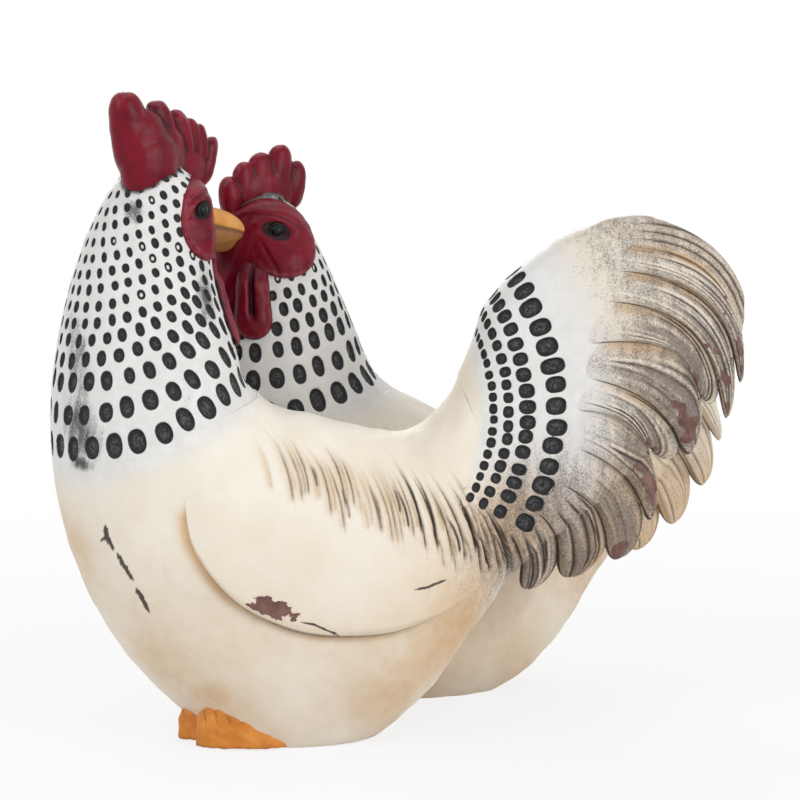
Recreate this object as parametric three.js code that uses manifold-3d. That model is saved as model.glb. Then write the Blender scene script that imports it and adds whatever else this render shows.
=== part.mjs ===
// A nuzzling pair of chickens, a cast and painted ornament made to look like carved wood.
// Millimetres, +Z up. Both birds have their breast towards -X. The rooster is on the -Y side.
import * as THREE from 'three';
import { mergeVertices } from 'three/addons/utils/BufferGeometryUtils.js';
import Module from 'manifold-3d';

const wasm = await Module();
wasm.setup();

// Fits and walls
const FIT = 0.3;
const WALL = 6;
const FLANK_COVER = 2;

// Distances between the middle planes of the two bodies and of the two heads
const PAIR_SPACING = 76;
const HEAD_SPACING = 57;

// Spigot under each neck and tenon behind each body
const SPIGOT_RADIUS = 15;
const SPIGOT_HEIGHT = 10;
const TENON_RADIUS = 9;
const TENON_LENGTH = 10;

// Dowels across the flank joint and stoppers in the pour holes
const DOWEL_RADIUS = 4;
const DOWEL_LENGTH = 16;
const DOWEL_FRONT = { x: -28, z: 70 };
const DOWEL_REAR = { x: 0, z: 60 };
const PLUG_RADIUS = 12;
const PLUG_HEIGHT = 5;
const PLUG_RECESS = 0.6;

// Trim on the heads
const EYE_RADIUS = 2.9;
const EYE_SINK = 1.2;
const FACE_THICKNESS = 2.4;
const WATTLE_THICKNESS = 4.5;
const WATTLE_PARTING = 2;

// Plumes and wings stand proud of the bodies, most at their lower edges. A plume reaches its full rise part
// way along, and a wing's crest starts a little behind its leading edge.
const PLUME_RISE = 3.4;
const PLUME_EDGE = 1.8;
const PLUME_RIM = 3;
const PLUME_FULL_AT = 0.45;
const PLUME_SLOPE = 0.8;
const WING_RISE = 4;
const WING_EDGE = 0.8;
const WING_LEAD = 0.08;

// Feet
const FOOT_HEIGHT = 17.5;
const TOE_WIDTH = 14;

// Roundness of the sections: 1 is an ellipse, less is squarer
const TRUNK_ROUNDNESS = 0.9;
const TOE_ROUNDNESS = 0.55;
const BEAK_TAPER = 3.2;
const BEAK_HOOK = 4;

// The neck leans towards its mate between these fan angles
const LEAN_FROM = 224;
const LEAN_TO = 184;

// Degrees of the fan: the neck's share of the trunk, and where the hollow starts and how far it stops short
const NECK_SPAN = 62;
const HOLLOW_FROM = 222;
const HOLLOW_SHORT = 14;

// Lengths past the whole object and past any cheek, for cutting
const BEYOND = 1000;
const CHEEK_REACH = 60;

// Faceting
const TRUNK_STEPS = [0, 2.6, 7, 13, 21, 28, 35, 42, 49, 56, 63, 70, 77, 84, 91, 98, 105, 111, 117, 123, 129];
const TRUNK_SIDES = 18;
const TAIL_SIDES = 16;
const TAIL_RINGS = 15;
const HOLLOW_SIDES = 12;
const HOLLOW_RINGS = 10;
const PLUME_STEPS = 7;
const PLUME_STRIPS = 2;
const WING_STEPS = 14;
const WING_STRIPS = 6;
const BAR_SIDES = 18;
const FACE_POINTS = 9;
const BEAK_SIDES = 12;
const BEAK_SHARES = [0.2, 0.5, 0.66, 0.8, 0.91, 0.98];

// Each bird is a fan of sections round a pivot line behind its neck, parallel to Y.
// A row is an angle in degrees, the section's inner and outer radius, its half width, and how much the
// outer rim thins. Plume lines are root, bend and end points (x, z) of the edges between the plumes.
const ROOSTER = {
  name: 'rooster',
  side: -1,
  pivot: { x: -5, z: 185 },
  crown: { angle: 161.2, radius: 86 },
  tailTop: { angle: 364.8, radius: 88 },
  trunk: [
    [162.4, 78.5, 93, 6.5, 0], [165, 71, 97, 12, 0], [169, 65.8, 101, 15.8, 0], [175, 64.4, 106, 18.4, 0],
    [184, 64.6, 113.3, 20.8, 0], [195, 65.4, 124, 25.5, 0], [207, 66.8, 139, 32, 0], [217, 69.4, 153, 38, 0],
    [227, 74, 168.5, 42.5, 0], [236, 74.7, 181, 45, 0], [247, 71, 193.5, 46, 0], [258, 71, 204, 46, 0],
    [268, 72.2, 189, 45, 0], [276, 72.4, 169, 42, 0], [283, 69, 149, 37, 0], [290, 63.7, 134, 31, 0],
    [297, 57.7, 128, 27, 0],
  ],
  tail: [
    [297, 57.7, 128, 27, 0], [304, 52.7, 126, 24.5, 0.12], [312, 48.3, 125, 22, 0.28],
    [322, 44.2, 125, 20, 0.4], [332, 44.7, 129, 18, 0.45], [342, 47.2, 135, 16, 0.45],
    [350, 52.6, 133, 13.5, 0.4], [356, 58.5, 124, 11, 0.3], [361, 67, 111, 7.5, 0.2],
    [363.8, 78, 98, 3.5, 0],
  ],
  cape: { x: -126, z: 104, slope: 0.306 },
  base: { x: -42 },
  head: { x: -90, turn: 45 },
  comb: {
    thickness: 11,
    foot: -12.7,
    lobes: [
      [-14, 7.6, 25.8], [-3, 6.4, 21.3], [5.5, 5.8, 18.3],
      [13, 5.2, 14.8], [19.5, 4.8, 12.3], [25.5, 5.2, 7.3],
    ],
    ridge: { s: 2.5, halfLength: 24, top: 13.3 },
  },
  face: { s: 10, z: 191.5, halfWidth: 14, halfHeight: 16.5 },
  eye: { s: 4.5, z: 195 },
  beak: { z: 185.5, length: 44, drop: 4.5, halfHeight: 9, halfWidth: 8 },
  wattle: [[6, 0], [44, 0], [44, -25], [30, -36], [18, -27]],
  wing: {
    lower: [
      [-78, 96], [-75, 79], [-66, 65], [-54, 54.5], [-36, 47], [-18, 45.4], [0, 47], [18, 53.5], [33, 63],
    ],
    upper: [[-77, 100], [-66, 106], [-40, 107], [-15, 102], [12, 88], [34, 65.5]],
  },
  plumes: [
    [[69, 182], [121, 189], [128, 144]], [[67.4, 174], [124, 177], [123.5, 128]],
    [[63.8, 163], [117, 167], [118, 115.5]], [[61.4, 146.5], [98.5, 154], [109, 135.5]],
    [[61.4, 136.5], [100, 131], [104.5, 98.5]], [[60.8, 123], [80.5, 125], [90, 110]],
    [[59.4, 111], [88, 102], [91.5, 74]], [[55, 98], [78, 87], [75.5, 63.5]],
    [[49, 87], [62.5, 77.5], [58.3, 58]], [[41.5, 80.5], [51.5, 67], [45.5, 54]],
  ],
  plumeTip: { from: 0.78, width: 5 },
  toes: [{ tip: -75, y: 26 }, { tip: -82, y: 15 }],
  heel: -38,
};

const HEN = {
  name: 'hen',
  side: 1,
  pivot: { x: 36, z: 172 },
  crown: { angle: 165.6, radius: 89.5 },
  tailTop: { angle: 349.6, radius: 65 },
  trunk: [
    [167, 82, 97, 6.5, 0], [169.5, 76.5, 101.5, 11.5, 0], [173, 72, 104.5, 14.8, 0],
    [178, 68.2, 107.5, 17.4, 0], [185, 64.6, 113, 20.4, 0], [193, 62.4, 121.5, 24.5, 0],
    [203, 61.6, 134, 30.5, 0], [213, 63, 147.5, 36, 0], [222, 66, 159, 40, 0], [232, 68.4, 172, 43, 0],
    [244, 68, 184, 44, 0], [256, 68.6, 190, 44, 0], [266, 69, 181, 43.5, 0], [273, 69, 169, 41, 0],
    [280, 66.5, 153, 36, 0], [287, 61.5, 135, 30, 0], [293, 56.5, 126, 26, 0],
  ],
  tail: [
    [293, 56.5, 126, 26, 0], [300, 52, 116, 24, 0.15], [308, 48.5, 109, 22, 0.3],
    [316, 46.5, 101, 19.5, 0.35], [325, 46.5, 93, 17, 0.35], [334, 48, 86, 14, 0.3],
    [342, 51.5, 80, 10, 0.2], [347.5, 57, 74, 5.5, 0],
  ],
  cape: { x: -50, z: 110, slope: 0.12 },
  base: { x: -2 },
  head: { x: -51, turn: 215 },
  comb: {
    thickness: 9,
    foot: -10.3,
    lobes: [[-13.5, 4.8, 9.2], [-7, 5.2, 15.7], [1, 5.4, 13.2], [8.5, 5, 10.2], [15, 4.8, 5.7]],
    ridge: { s: 0.5, halfLength: 17.5, top: 9.2 },
  },
  face: { s: 4, z: 177, halfWidth: 15.5, halfHeight: 15 },
  eye: { s: 5, z: 180 },
  beak: { z: 173.5, length: 38, drop: 4, halfHeight: 8, halfWidth: 7 },
  wattle: [[10, 0], [28, 0], [28, -10], [23, -21], [18, -25], [13, -22], [10, -12]],
  wing: {
    lower: [[-37, 89], [-34, 73], [-26, 60], [-14, 50], [4, 43], [21, 42], [38, 44], [54, 51], [68, 60]],
    upper: [[-36, 93], [-25, 98.5], [-1, 99.5], [22, 95], [48, 82], [69, 62.5]],
  },
  plumes: [
    [[82, 151], [108, 157], [116, 128]], [[81, 141], [113, 143], [121, 109]],
    [[80, 127], [111, 122], [122, 92]], [[78, 111], [106, 102], [113.5, 75]],
    [[74, 96], [96, 86], [101.5, 60.5]], [[67, 83], [83, 72], [87, 51.5]],
  ],
  plumeTip: { from: 0.82, width: 5 },
  toes: [{ tip: -34, y: 25 }, { tip: -41, y: 14.5 }],
  heel: -2,
};

const DEGREE = Math.PI / 180;

// Fan coordinates

function interpolated(rows) {
  const angles = rows.map((row) => row[0]);
  const values = rows.flatMap((row) => row.slice(1));
  const spline = new THREE.CubicInterpolant(angles, values, rows[0].length - 1);
  return (angle) => {
    const [inner, outer, half, thin] = spline.evaluate(angle);
    return { inner, outer, half, thin };
  };
}

function leanAt(bird, angle) {
  const lean = (PAIR_SPACING - HEAD_SPACING) / 2;
  return -bird.side * lean * THREE.MathUtils.smoothstep(LEAN_FROM - angle, 0, LEAN_FROM - LEAN_TO);
}

function onFan(bird, angle, radius, y) {
  const turn = angle * DEGREE;
  const x = bird.pivot.x + radius * Math.cos(turn);
  const z = bird.pivot.z + radius * Math.sin(turn);
  return new THREE.Vector3(x, y, z);
}

function fanOf(bird, x, z) {
  const dx = x - bird.pivot.x;
  const dz = z - bird.pivot.z;
  const angle = Math.atan2(dz, dx) / DEGREE;
  return { angle: angle < 100 ? angle + 360 : angle, radius: Math.hypot(dx, dz) };
}

function sectionWidth(section, grow, c) {
  const s = Math.sqrt(Math.max(0, 1 - c * c));
  return (section.half + grow) * s ** TRUNK_ROUNDNESS * (1 - section.thin * c);
}

function ring(bird, profile, angle, grow, sides) {
  const section = profile(angle);
  const middle = (section.inner + section.outer) / 2;
  const reach = (section.outer - section.inner) / 2 + grow;
  return Array.from({ length: sides }, (_, i) => {
    const turn = (2 * Math.PI * i) / sides;
    const c = Math.cos(turn);
    const y = Math.sign(Math.sin(turn)) * sectionWidth(section, grow, c);
    return onFan(bird, angle, middle + reach * c, y + leanAt(bird, angle));
  });
}

// Half width of a bird's flank at a point (x, z) of its side view, for a section grown by a margin
function flankAt(bird, profile, x, z, grow) {
  const { angle, radius } = fanOf(bird, x, z);
  const section = profile(angle);
  const middle = (section.inner + section.outer) / 2;
  const reach = (section.outer - section.inner) / 2 + grow;
  const c = THREE.MathUtils.clamp((radius - middle) / reach, -1, 1);
  return sectionWidth(section, 0, c);
}

// Closed surfaces

function centre(points) {
  const sum = new THREE.Vector3();
  points.forEach((point) => sum.add(point));
  return sum.divideScalar(points.length);
}

function surface(points, index) {
  const geometry = new THREE.BufferGeometry().setFromPoints(points);
  geometry.setIndex(index);
  return geometry;
}

function loft(rings, start = centre(rings[0]), end = centre(rings.at(-1))) {
  const sides = rings[0].length;
  const points = [...rings.flat(), start, end];
  const last = (rings.length - 1) * sides;
  const index = [];
  for (let i = 0; i < sides; i++) {
    const j = (i + 1) % sides;
    index.push(points.length - 2, j, i, points.length - 1, last + i, last + j);
    for (let k = 0; k < last; k += sides) {
      index.push(k + i, k + j, k + sides + j, k + i, k + sides + j, k + sides + i);
    }
  }
  return surface(points, index);
}

function volumeOf(position, index) {
  const [a, b, c] = [new THREE.Vector3(), new THREE.Vector3(), new THREE.Vector3()];
  let sum = 0;
  for (let i = 0; i < index.count; i += 3) {
    a.fromBufferAttribute(position, index.getX(i));
    b.fromBufferAttribute(position, index.getX(i + 1));
    c.fromBufferAttribute(position, index.getX(i + 2));
    sum += a.dot(b.cross(c)) / 6;
  }
  return sum;
}

function solid(geometry) {
  const bare = geometry.clone();
  bare.deleteAttribute('normal');
  bare.deleteAttribute('uv');
  const merged = mergeVertices(bare);
  const triVerts = new Uint32Array(merged.index.array);
  if (volumeOf(merged.attributes.position, merged.index) < 0) triVerts.reverse();
  const vertProperties = new Float32Array(merged.attributes.position.array);
  return new wasm.Manifold(new wasm.Mesh({ numProp: 3, vertProperties, triVerts }));
}

function geometryOf(body) {
  const { vertProperties, triVerts } = body.getMesh();
  const geometry = new THREE.BufferGeometry();
  geometry.setAttribute('position', new THREE.BufferAttribute(new Float32Array(vertProperties), 3));
  geometry.setIndex(new THREE.BufferAttribute(new Uint32Array(triVerts), 1));
  geometry.computeVertexNormals();
  return geometry;
}

// A cylinder from a point along a direction, from one distance to another
function bar(point, direction, from, to, radius) {
  const geometry = new THREE.CylinderGeometry(radius, radius, to - from, BAR_SIDES);
  geometry.translate(0, (from + to) / 2, 0);
  geometry.applyQuaternion(new THREE.Quaternion().setFromUnitVectors(new THREE.Vector3(0, 1, 0), direction));
  geometry.translate(point.x, point.y, point.z);
  return solid(geometry);
}

// Everything on the side of a plane that its normal points to, within reach of the object
function halfSpace(point, normal, offset = 0) {
  const geometry = new THREE.BoxGeometry(BEYOND, BEYOND, BEYOND);
  geometry.translate(0, 0, BEYOND / 2 + offset);
  geometry.applyQuaternion(new THREE.Quaternion().setFromUnitVectors(new THREE.Vector3(0, 0, 1), normal));
  geometry.translate(point.x, point.y, point.z);
  return solid(geometry);
}

// The trunk, its cuts and its joints

function trunkAngles(bird, until) {
  const first = bird.trunk[0][0];
  const last = Math.min(until, bird.trunk.at(-1)[0]);
  const angles = TRUNK_STEPS.map((step) => first + step);
  return [...angles.filter((angle) => angle < last - 2), last];
}

function trunkSolid(bird, grow, until = Infinity) {
  const profile = interpolated(bird.trunk);
  const rings = trunkAngles(bird, until).map((angle) => ring(bird, profile, angle, grow, TRUNK_SIDES));
  const crownAngle = bird.crown.angle - grow / bird.crown.radius / DEGREE;
  const crown = onFan(bird, crownAngle, bird.crown.radius, leanAt(bird, crownAngle));
  return solid(loft(rings, crown));
}

function neckSolid(bird, grow) {
  return trunkSolid(bird, grow, bird.trunk[0][0] + NECK_SPAN);
}

function capePlane(bird) {
  const { x, z, slope } = bird.cape;
  const normal = new THREE.Vector3(-slope, 0, 1).normalize();
  return { point: new THREE.Vector3(x, 0, z), normal };
}

// Where the cape plane cuts the neck's middle line
function neckSeat(bird) {
  const { point, normal } = capePlane(bird);
  const profile = interpolated(bird.trunk);
  const middleAt = (angle) => {
    const { inner, outer } = profile(angle);
    return onFan(bird, angle, (inner + outer) / 2, 0);
  };
  let above = bird.trunk[0][0];
  let below = above + NECK_SPAN;
  while (below - above > 0.01) {
    const angle = (above + below) / 2;
    if (middleAt(angle).sub(point).dot(normal) > 0) above = angle;
    else below = angle;
  }
  return middleAt(above);
}

function tailSeat(bird) {
  const [angle, inner, outer] = bird.tail[0];
  const turn = angle * DEGREE;
  const point = onFan(bird, angle, (inner + outer) / 2, 0);
  return { point, normal: new THREE.Vector3(-Math.sin(turn), 0, Math.cos(turn)) };
}

function flankCut(bird, inset) {
  const point = new THREE.Vector3(0, -bird.side * (PAIR_SPACING / 2 - inset), 0);
  return halfSpace(point, new THREE.Vector3(0, -bird.side, 0));
}

function hollow(bird) {
  const profile = interpolated(bird.trunk);
  const last = bird.trunk.at(-1)[0] - HOLLOW_SHORT;
  const rings = Array.from({ length: HOLLOW_RINGS }, (_, i) => {
    const angle = THREE.MathUtils.lerp(HOLLOW_FROM, last, i / (HOLLOW_RINGS - 1));
    return ring(bird, profile, angle, -WALL, HOLLOW_SIDES);
  });
  const cape = capePlane(bird);
  const floor = halfSpace(new THREE.Vector3(0, 0, WALL), new THREE.Vector3(0, 0, -1));
  return solid(loft(rings))
    .subtract(halfSpace(cape.point, cape.normal, -WALL))
    .subtract(floor)
    .subtract(flankCut(bird, DOWEL_LENGTH / 2 + FLANK_COVER));
}

function pourHole(bird, radius, from, to) {
  return bar(new THREE.Vector3(bird.base.x, 0, 0), new THREE.Vector3(0, 0, 1), from, to, radius);
}

function dowel(place, radius, length) {
  const middle = new THREE.Vector3(place.x, 0, place.z);
  return bar(middle, new THREE.Vector3(0, 1, 0), -length / 2, length / 2, radius);
}

// Dowel holes seen from a bird's own frame
function dowelHoles(bird) {
  const shift = [0, (-bird.side * PAIR_SPACING) / 2, 0];
  const [front, rear] = [DOWEL_FRONT, DOWEL_REAR].map((place) => {
    return dowel(place, DOWEL_RADIUS + FIT, DOWEL_LENGTH + 2 * FIT);
  });
  return front.add(rear).translate(shift);
}

function bodySolid(bird) {
  const cape = capePlane(bird);
  const tail = tailSeat(bird);
  const ground = halfSpace(new THREE.Vector3(), new THREE.Vector3(0, 0, -1));
  const spigot = bar(neckSeat(bird), cape.normal, -WALL, SPIGOT_HEIGHT, SPIGOT_RADIUS);
  const socket = bar(tail.point, tail.normal, -TENON_LENGTH - FIT, WALL, TENON_RADIUS + FIT);
  return trunkSolid(bird, 0)
    .subtract(halfSpace(cape.point, cape.normal))
    .add(spigot)
    .subtract(ground)
    .subtract(flankCut(bird, FIT / 2))
    .subtract(hollow(bird))
    .subtract(pourHole(bird, PLUG_RADIUS + FIT, -WALL, WALL + WALL))
    .subtract(socket)
    .subtract(dowelHoles(bird));
}

function neckPiece(bird) {
  const cape = capePlane(bird);
  const socket = bar(neckSeat(bird), cape.normal, -WALL, SPIGOT_HEIGHT + FIT, SPIGOT_RADIUS + FIT);
  const eyes = [-1, 1].map((hand) => eyeBall(bird, hand, EYE_RADIUS + FIT));
  return trunkSolid(bird, 0)
    .intersect(halfSpace(cape.point, cape.normal, FIT))
    .subtract(socket)
    .subtract(eyes[0])
    .subtract(eyes[1]);
}

function tailSolid(bird, grow) {
  const profile = interpolated(bird.tail);
  const seat = tailSeat(bird);
  const reach = Math.hypot(seat.point.x - bird.pivot.x, seat.point.z - bird.pivot.z);
  const first = bird.tail[0][0] + FIT / reach / DEGREE;
  const last = bird.tail.at(-1)[0];
  const rings = Array.from({ length: TAIL_RINGS }, (_, i) => {
    const share = Math.sin((Math.PI / 2) * (i / (TAIL_RINGS - 1)));
    return ring(bird, profile, THREE.MathUtils.lerp(first, last, share), grow, TAIL_SIDES);
  });
  const topAngle = bird.tailTop.angle + grow / bird.tailTop.radius / DEGREE;
  return solid(loft(rings, undefined, onFan(bird, topAngle, bird.tailTop.radius, 0)));
}

function tailPiece(bird) {
  const seat = tailSeat(bird);
  return tailSolid(bird, 0).add(bar(seat.point, seat.normal, -TENON_LENGTH, WALL, TENON_RADIUS));
}

// Head trim, drawn in a frame that turns with the head: s forward, l to the bird's left, z up

function headMatrix(bird) {
  const y = leanAt(bird, LEAN_TO);
  const matrix = new THREE.Matrix4().makeRotationZ(bird.head.turn * DEGREE);
  return matrix.setPosition(bird.head.x, y, 0);
}

// A prism of an outline in the s-z plane between two distances to the left
function prism(bird, shape, from, to) {
  const geometry = new THREE.ExtrudeGeometry(shape, { depth: to - from, bevelEnabled: false });
  geometry.rotateX(Math.PI / 2);
  geometry.translate(0, to, 0);
  geometry.applyMatrix4(headMatrix(bird));
  return solid(geometry);
}

// A piece that lies on the neck like a thick skin, within an outline
function skinPiece(bird, shape, thickness, from, to) {
  return neckSolid(bird, FIT + thickness)
    .subtract(neckSolid(bird, FIT))
    .intersect(prism(bird, shape, from, to));
}

// Where a level line through the head to the left or right leaves its surface
function cheekPoint(bird, s, z, hand) {
  const profile = interpolated(bird.trunk);
  const matrix = headMatrix(bird);
  let near = 0;
  let far = CHEEK_REACH;
  while (far - near > 0.01) {
    const l = (near + far) / 2;
    const point = new THREE.Vector3(s, hand * l, z).applyMatrix4(matrix);
    const { angle } = fanOf(bird, point.x, point.z);
    const offset = Math.abs(point.y - leanAt(bird, angle));
    if (offset < flankAt(bird, profile, point.x, point.z, 0)) near = l;
    else far = l;
  }
  return near;
}

function eyeBall(bird, hand, radius) {
  const { s, z } = bird.eye;
  const l = cheekPoint(bird, s, z, hand) + FIT + FACE_THICKNESS - EYE_SINK;
  const ball = new THREE.SphereGeometry(radius, 8, 7);
  const middle = new THREE.Vector3(s, hand * l, z).applyMatrix4(headMatrix(bird));
  ball.translate(middle.x, middle.y, middle.z);
  return solid(ball);
}

function faceOutline(bird, grow) {
  const { s, z, halfWidth, halfHeight } = bird.face;
  const outline = new THREE.Shape().absellipse(s, z, halfWidth + grow, halfHeight + grow, 0, 2 * Math.PI);
  return new THREE.Shape(outline.getPoints(FACE_POINTS));
}

function facePiece(bird) {
  return skinPiece(bird, faceOutline(bird, 0), FACE_THICKNESS, -CHEEK_REACH, CHEEK_REACH)
    .subtract(eyeBall(bird, -1, EYE_RADIUS + FIT))
    .subtract(eyeBall(bird, 1, EYE_RADIUS + FIT));
}

function wattlePiece(bird, hand) {
  const top = bird.beak.z - bird.beak.halfHeight - 2 * FIT;
  const corners = bird.wattle.map(([s, drop]) => new THREE.Vector2(s, top + drop));
  const shape = new THREE.Shape(corners);
  const near = WATTLE_PARTING / 2;
  const [from, to] = hand > 0 ? [near, CHEEK_REACH] : [-CHEEK_REACH, -near];
  return skinPiece(bird, shape, WATTLE_THICKNESS, from, to).subtract(grownFace(bird));
}

// The face's outline with a fit all round, to part the wattles and the comb from it
function grownFace(bird) {
  return prism(bird, faceOutline(bird, FIT), -CHEEK_REACH, CHEEK_REACH);
}

// Knobs in a row along the head, with heights from the crown
function combPiece(bird) {
  const { foot, thickness, lobes, ridge } = bird.comb;
  const crown = onFan(bird, bird.crown.angle, bird.crown.radius, 0).z;
  const knob = (s, halfLength, low, high) => {
    const ball = new THREE.SphereGeometry(1, 8, 6);
    ball.scale(halfLength, thickness / 2, (high - low) / 2);
    ball.translate(s, 0, crown + (high + low) / 2);
    ball.applyMatrix4(headMatrix(bird));
    return solid(ball);
  };
  const start = knob(ridge.s, ridge.halfLength, foot, ridge.top);
  const comb = lobes.reduce((sum, [s, halfLength, top]) => sum.add(knob(s, halfLength, foot, top)), start);
  const faceSeat = neckSolid(bird, FACE_THICKNESS + 2 * FIT).intersect(grownFace(bird));
  return comb.subtract(neckSolid(bird, FIT)).subtract(faceSeat);
}

function beakPiece(bird) {
  const { z, length, drop, halfHeight, halfWidth } = bird.beak;
  const rings = BEAK_SHARES.map((share) => {
    const swell = Math.sqrt(1 - share ** BEAK_TAPER);
    return Array.from({ length: BEAK_SIDES }, (_, i) => {
      const turn = (2 * Math.PI * i) / BEAK_SIDES;
      const up = z - drop * share ** BEAK_HOOK + halfHeight * swell * Math.sin(turn);
      return new THREE.Vector3(length * share, halfWidth * swell * Math.cos(turn), up);
    });
  });
  const geometry = loft(rings, undefined, new THREE.Vector3(length, 0, z - drop));
  geometry.applyMatrix4(headMatrix(bird));
  return solid(geometry).subtract(neckSolid(bird, FACE_THICKNESS + 2 * FIT));
}

// Plates that lie on a flank: wings and plumes

// A closed plate between two edges in the side view, with the inner and outer face given as distances in y
function plate(hand, lower, upper, inside, outside, steps, strips) {
  const points = [];
  for (const face of [inside, outside]) {
    for (let i = 0; i <= steps; i++) {
      const u = i / steps;
      for (let k = 0; k <= strips; k++) {
        const v = k / strips;
        const place = lower(u).lerp(upper(u), v);
        points.push(new THREE.Vector3(place.x, hand * face(place, u, v), place.y));
      }
    }
  }
  const row = strips + 1;
  const layer = (steps + 1) * row;
  const index = [];
  const quad = (a, b, c, d) => index.push(a, b, c, a, c, d);
  for (let i = 0; i < steps; i++) {
    for (let k = 0; k < strips; k++) {
      const at = i * row + k;
      quad(at, at + 1, at + row + 1, at + row);
      quad(layer + at, layer + at + row, layer + at + row + 1, layer + at + 1);
    }
    const low = i * row;
    const high = low + strips;
    quad(low, low + row, layer + low + row, layer + low);
    quad(high, layer + high, layer + high + row, high + row);
  }
  for (let k = 0; k < strips; k++) {
    const end = steps * row + k;
    quad(k, layer + k, layer + k + 1, k + 1);
    quad(end, end + 1, layer + end + 1, layer + end);
  }
  return solid(surface(points, index));
}

function wingPiece(bird) {
  const profile = interpolated(bird.trunk);
  const [lower, upper] = [bird.wing.lower, bird.wing.upper].map((points) => {
    return new THREE.SplineCurve(points.map(([x, z]) => new THREE.Vector2(x, z)));
  });
  const inside = (place) => flankAt(bird, profile, place.x, place.y, FIT) - WALL / 2;
  const outside = (place, u, v) => {
    const crest = Math.sqrt(Math.max(0, Math.sin(Math.PI * THREE.MathUtils.lerp(WING_LEAD, 1, u))));
    return flankAt(bird, profile, place.x, place.y, FIT) + FIT + WING_EDGE + WING_RISE * crest * (1 - v);
  };
  const lowerEdge = (u) => lower.getPointAt(u);
  const upperEdge = (u) => upper.getPointAt(u);
  const wing = plate(bird.side, lowerEdge, upperEdge, inside, outside, WING_STEPS, WING_STRIPS);
  return wing.subtract(trunkSolid(bird, FIT));
}

function bend([root, middle, end]) {
  const [a, b, c] = [root, middle, end].map(([x, z]) => new THREE.Vector2(x, z));
  return new THREE.QuadraticBezierCurve(a, b, c);
}

function plumePiece(bird, hand, number) {
  const profile = interpolated(bird.tail);
  const above = bend(bird.plumes[number - 1]);
  const below = bend(bird.plumes[number]);
  const { from, width: tipWidth } = bird.plumeTip;
  const lowerEdge = (u) => {
    const point = below.getPoint(u);
    const towards = above.getPoint(u).sub(point);
    return point.addScaledVector(towards, FIT / 2 / towards.length());
  };
  const upperEdge = (u) => {
    const low = lowerEdge(u);
    const towards = above.getPoint(u).sub(low);
    const width = towards.length();
    const t = Math.max(0, (u - from) / (1 - from));
    const kept = Math.max(tipWidth, (width - FIT) * Math.sqrt(Math.max(0, 1 - t ** 1.7)));
    return low.addScaledVector(towards, kept / width);
  };
  const flank = (place) => flankAt(bird, profile, place.x, place.y, PLUME_RIM);
  const inside = (place) => Math.max(FIT, flank(place) - WALL / 2);
  const outside = (place, u, v) => {
    const rise = THREE.MathUtils.smoothstep(u, 0, PLUME_FULL_AT) * (1 - PLUME_SLOPE * v);
    return flank(place) + FIT + PLUME_EDGE + PLUME_RISE * rise;
  };
  const plume = plate(hand, lowerEdge, upperEdge, inside, outside, PLUME_STEPS, PLUME_STRIPS);
  return plume.subtract(tailSolid(bird, FIT)).subtract(trunkSolid(bird, FIT));
}

// Feet: low blunt toes that come out from under the breast

function toeBlock() {
  const ball = new THREE.SphereGeometry(1, 10, 8);
  const corners = ball.attributes.position;
  corners.array.forEach((value, i) => {
    corners.array[i] = Math.sign(value) * Math.abs(value) ** TOE_ROUNDNESS;
  });
  return ball;
}

function footPiece(bird, hand) {
  const toes = bird.toes.map(({ tip, y }) => {
    const toe = toeBlock();
    toe.scale((bird.heel - tip) / 2, TOE_WIDTH / 2, FOOT_HEIGHT);
    toe.translate((bird.heel + tip) / 2, hand * y, 0);
    return solid(toe);
  });
  const ground = halfSpace(new THREE.Vector3(), new THREE.Vector3(0, 0, -1));
  return toes[0].add(toes[1]).subtract(ground).subtract(trunkSolid(bird, FIT));
}

// The scene graph

function piece(group, name, body, color, roughness) {
  const material = new THREE.MeshStandardMaterial({ color, roughness, metalness: 0 });
  const mesh = new THREE.Mesh(geometryOf(body), material);
  mesh.name = name;
  group.add(mesh);
}

const IVORY = 0xe9dfcb;
const WHITE = 0xe8e6e1;
const CRIMSON = 0x7d1a28;
const OCHRE = 0xc98a3c;
const ORANGE = 0xc9812f;
const SMOKE = 0xb9aca0;
const BEAD = 0x10130f;
const STOPPER = 0x4a4a48;
const PINE = 0xc7a16f;

const handName = (hand) => (hand > 0 ? 'left' : 'right');

// Facing -X, a bird has its left on the -Y side, but the trim on a turned head follows the head
function makeBird(bird, plumeColour) {
  const group = new THREE.Group();
  group.position.y = (bird.side * PAIR_SPACING) / 2;
  piece(group, `${bird.name}_body`, bodySolid(bird), IVORY, 0.6);
  piece(group, `${bird.name}_neck`, neckPiece(bird), WHITE, 0.6);
  piece(group, `${bird.name}_tail`, tailPiece(bird), IVORY, 0.65);
  piece(group, `${bird.name}_comb`, combPiece(bird), CRIMSON, 0.45);
  piece(group, `${bird.name}_face`, facePiece(bird), CRIMSON, 0.45);
  piece(group, `${bird.name}_beak`, beakPiece(bird), OCHRE, 0.55);
  piece(group, `${bird.name}_wing`, wingPiece(bird), IVORY, 0.6);
  const plug = pourHole(bird, PLUG_RADIUS, PLUG_RECESS, PLUG_RECESS + PLUG_HEIGHT);
  piece(group, `${bird.name}_plug`, plug, STOPPER, 0.8);
  for (const hand of [1, -1]) {
    piece(group, `${bird.name}_eye_${handName(hand)}`, eyeBall(bird, hand, EYE_RADIUS), BEAD, 0.1);
    piece(group, `${bird.name}_wattle_${handName(hand)}`, wattlePiece(bird, hand), CRIMSON, 0.45);
    for (let number = 1; number < bird.plumes.length; number++) {
      const name = `${bird.name}_plume_${handName(hand)}_${number}`;
      piece(group, name, plumePiece(bird, -hand, number), plumeColour, 0.7);
    }
    const place = hand === bird.side ? 'outer' : 'inner';
    piece(group, `${bird.name}_foot_${place}`, footPiece(bird, hand), ORANGE, 0.6);
  }
  return group;
}

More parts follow.
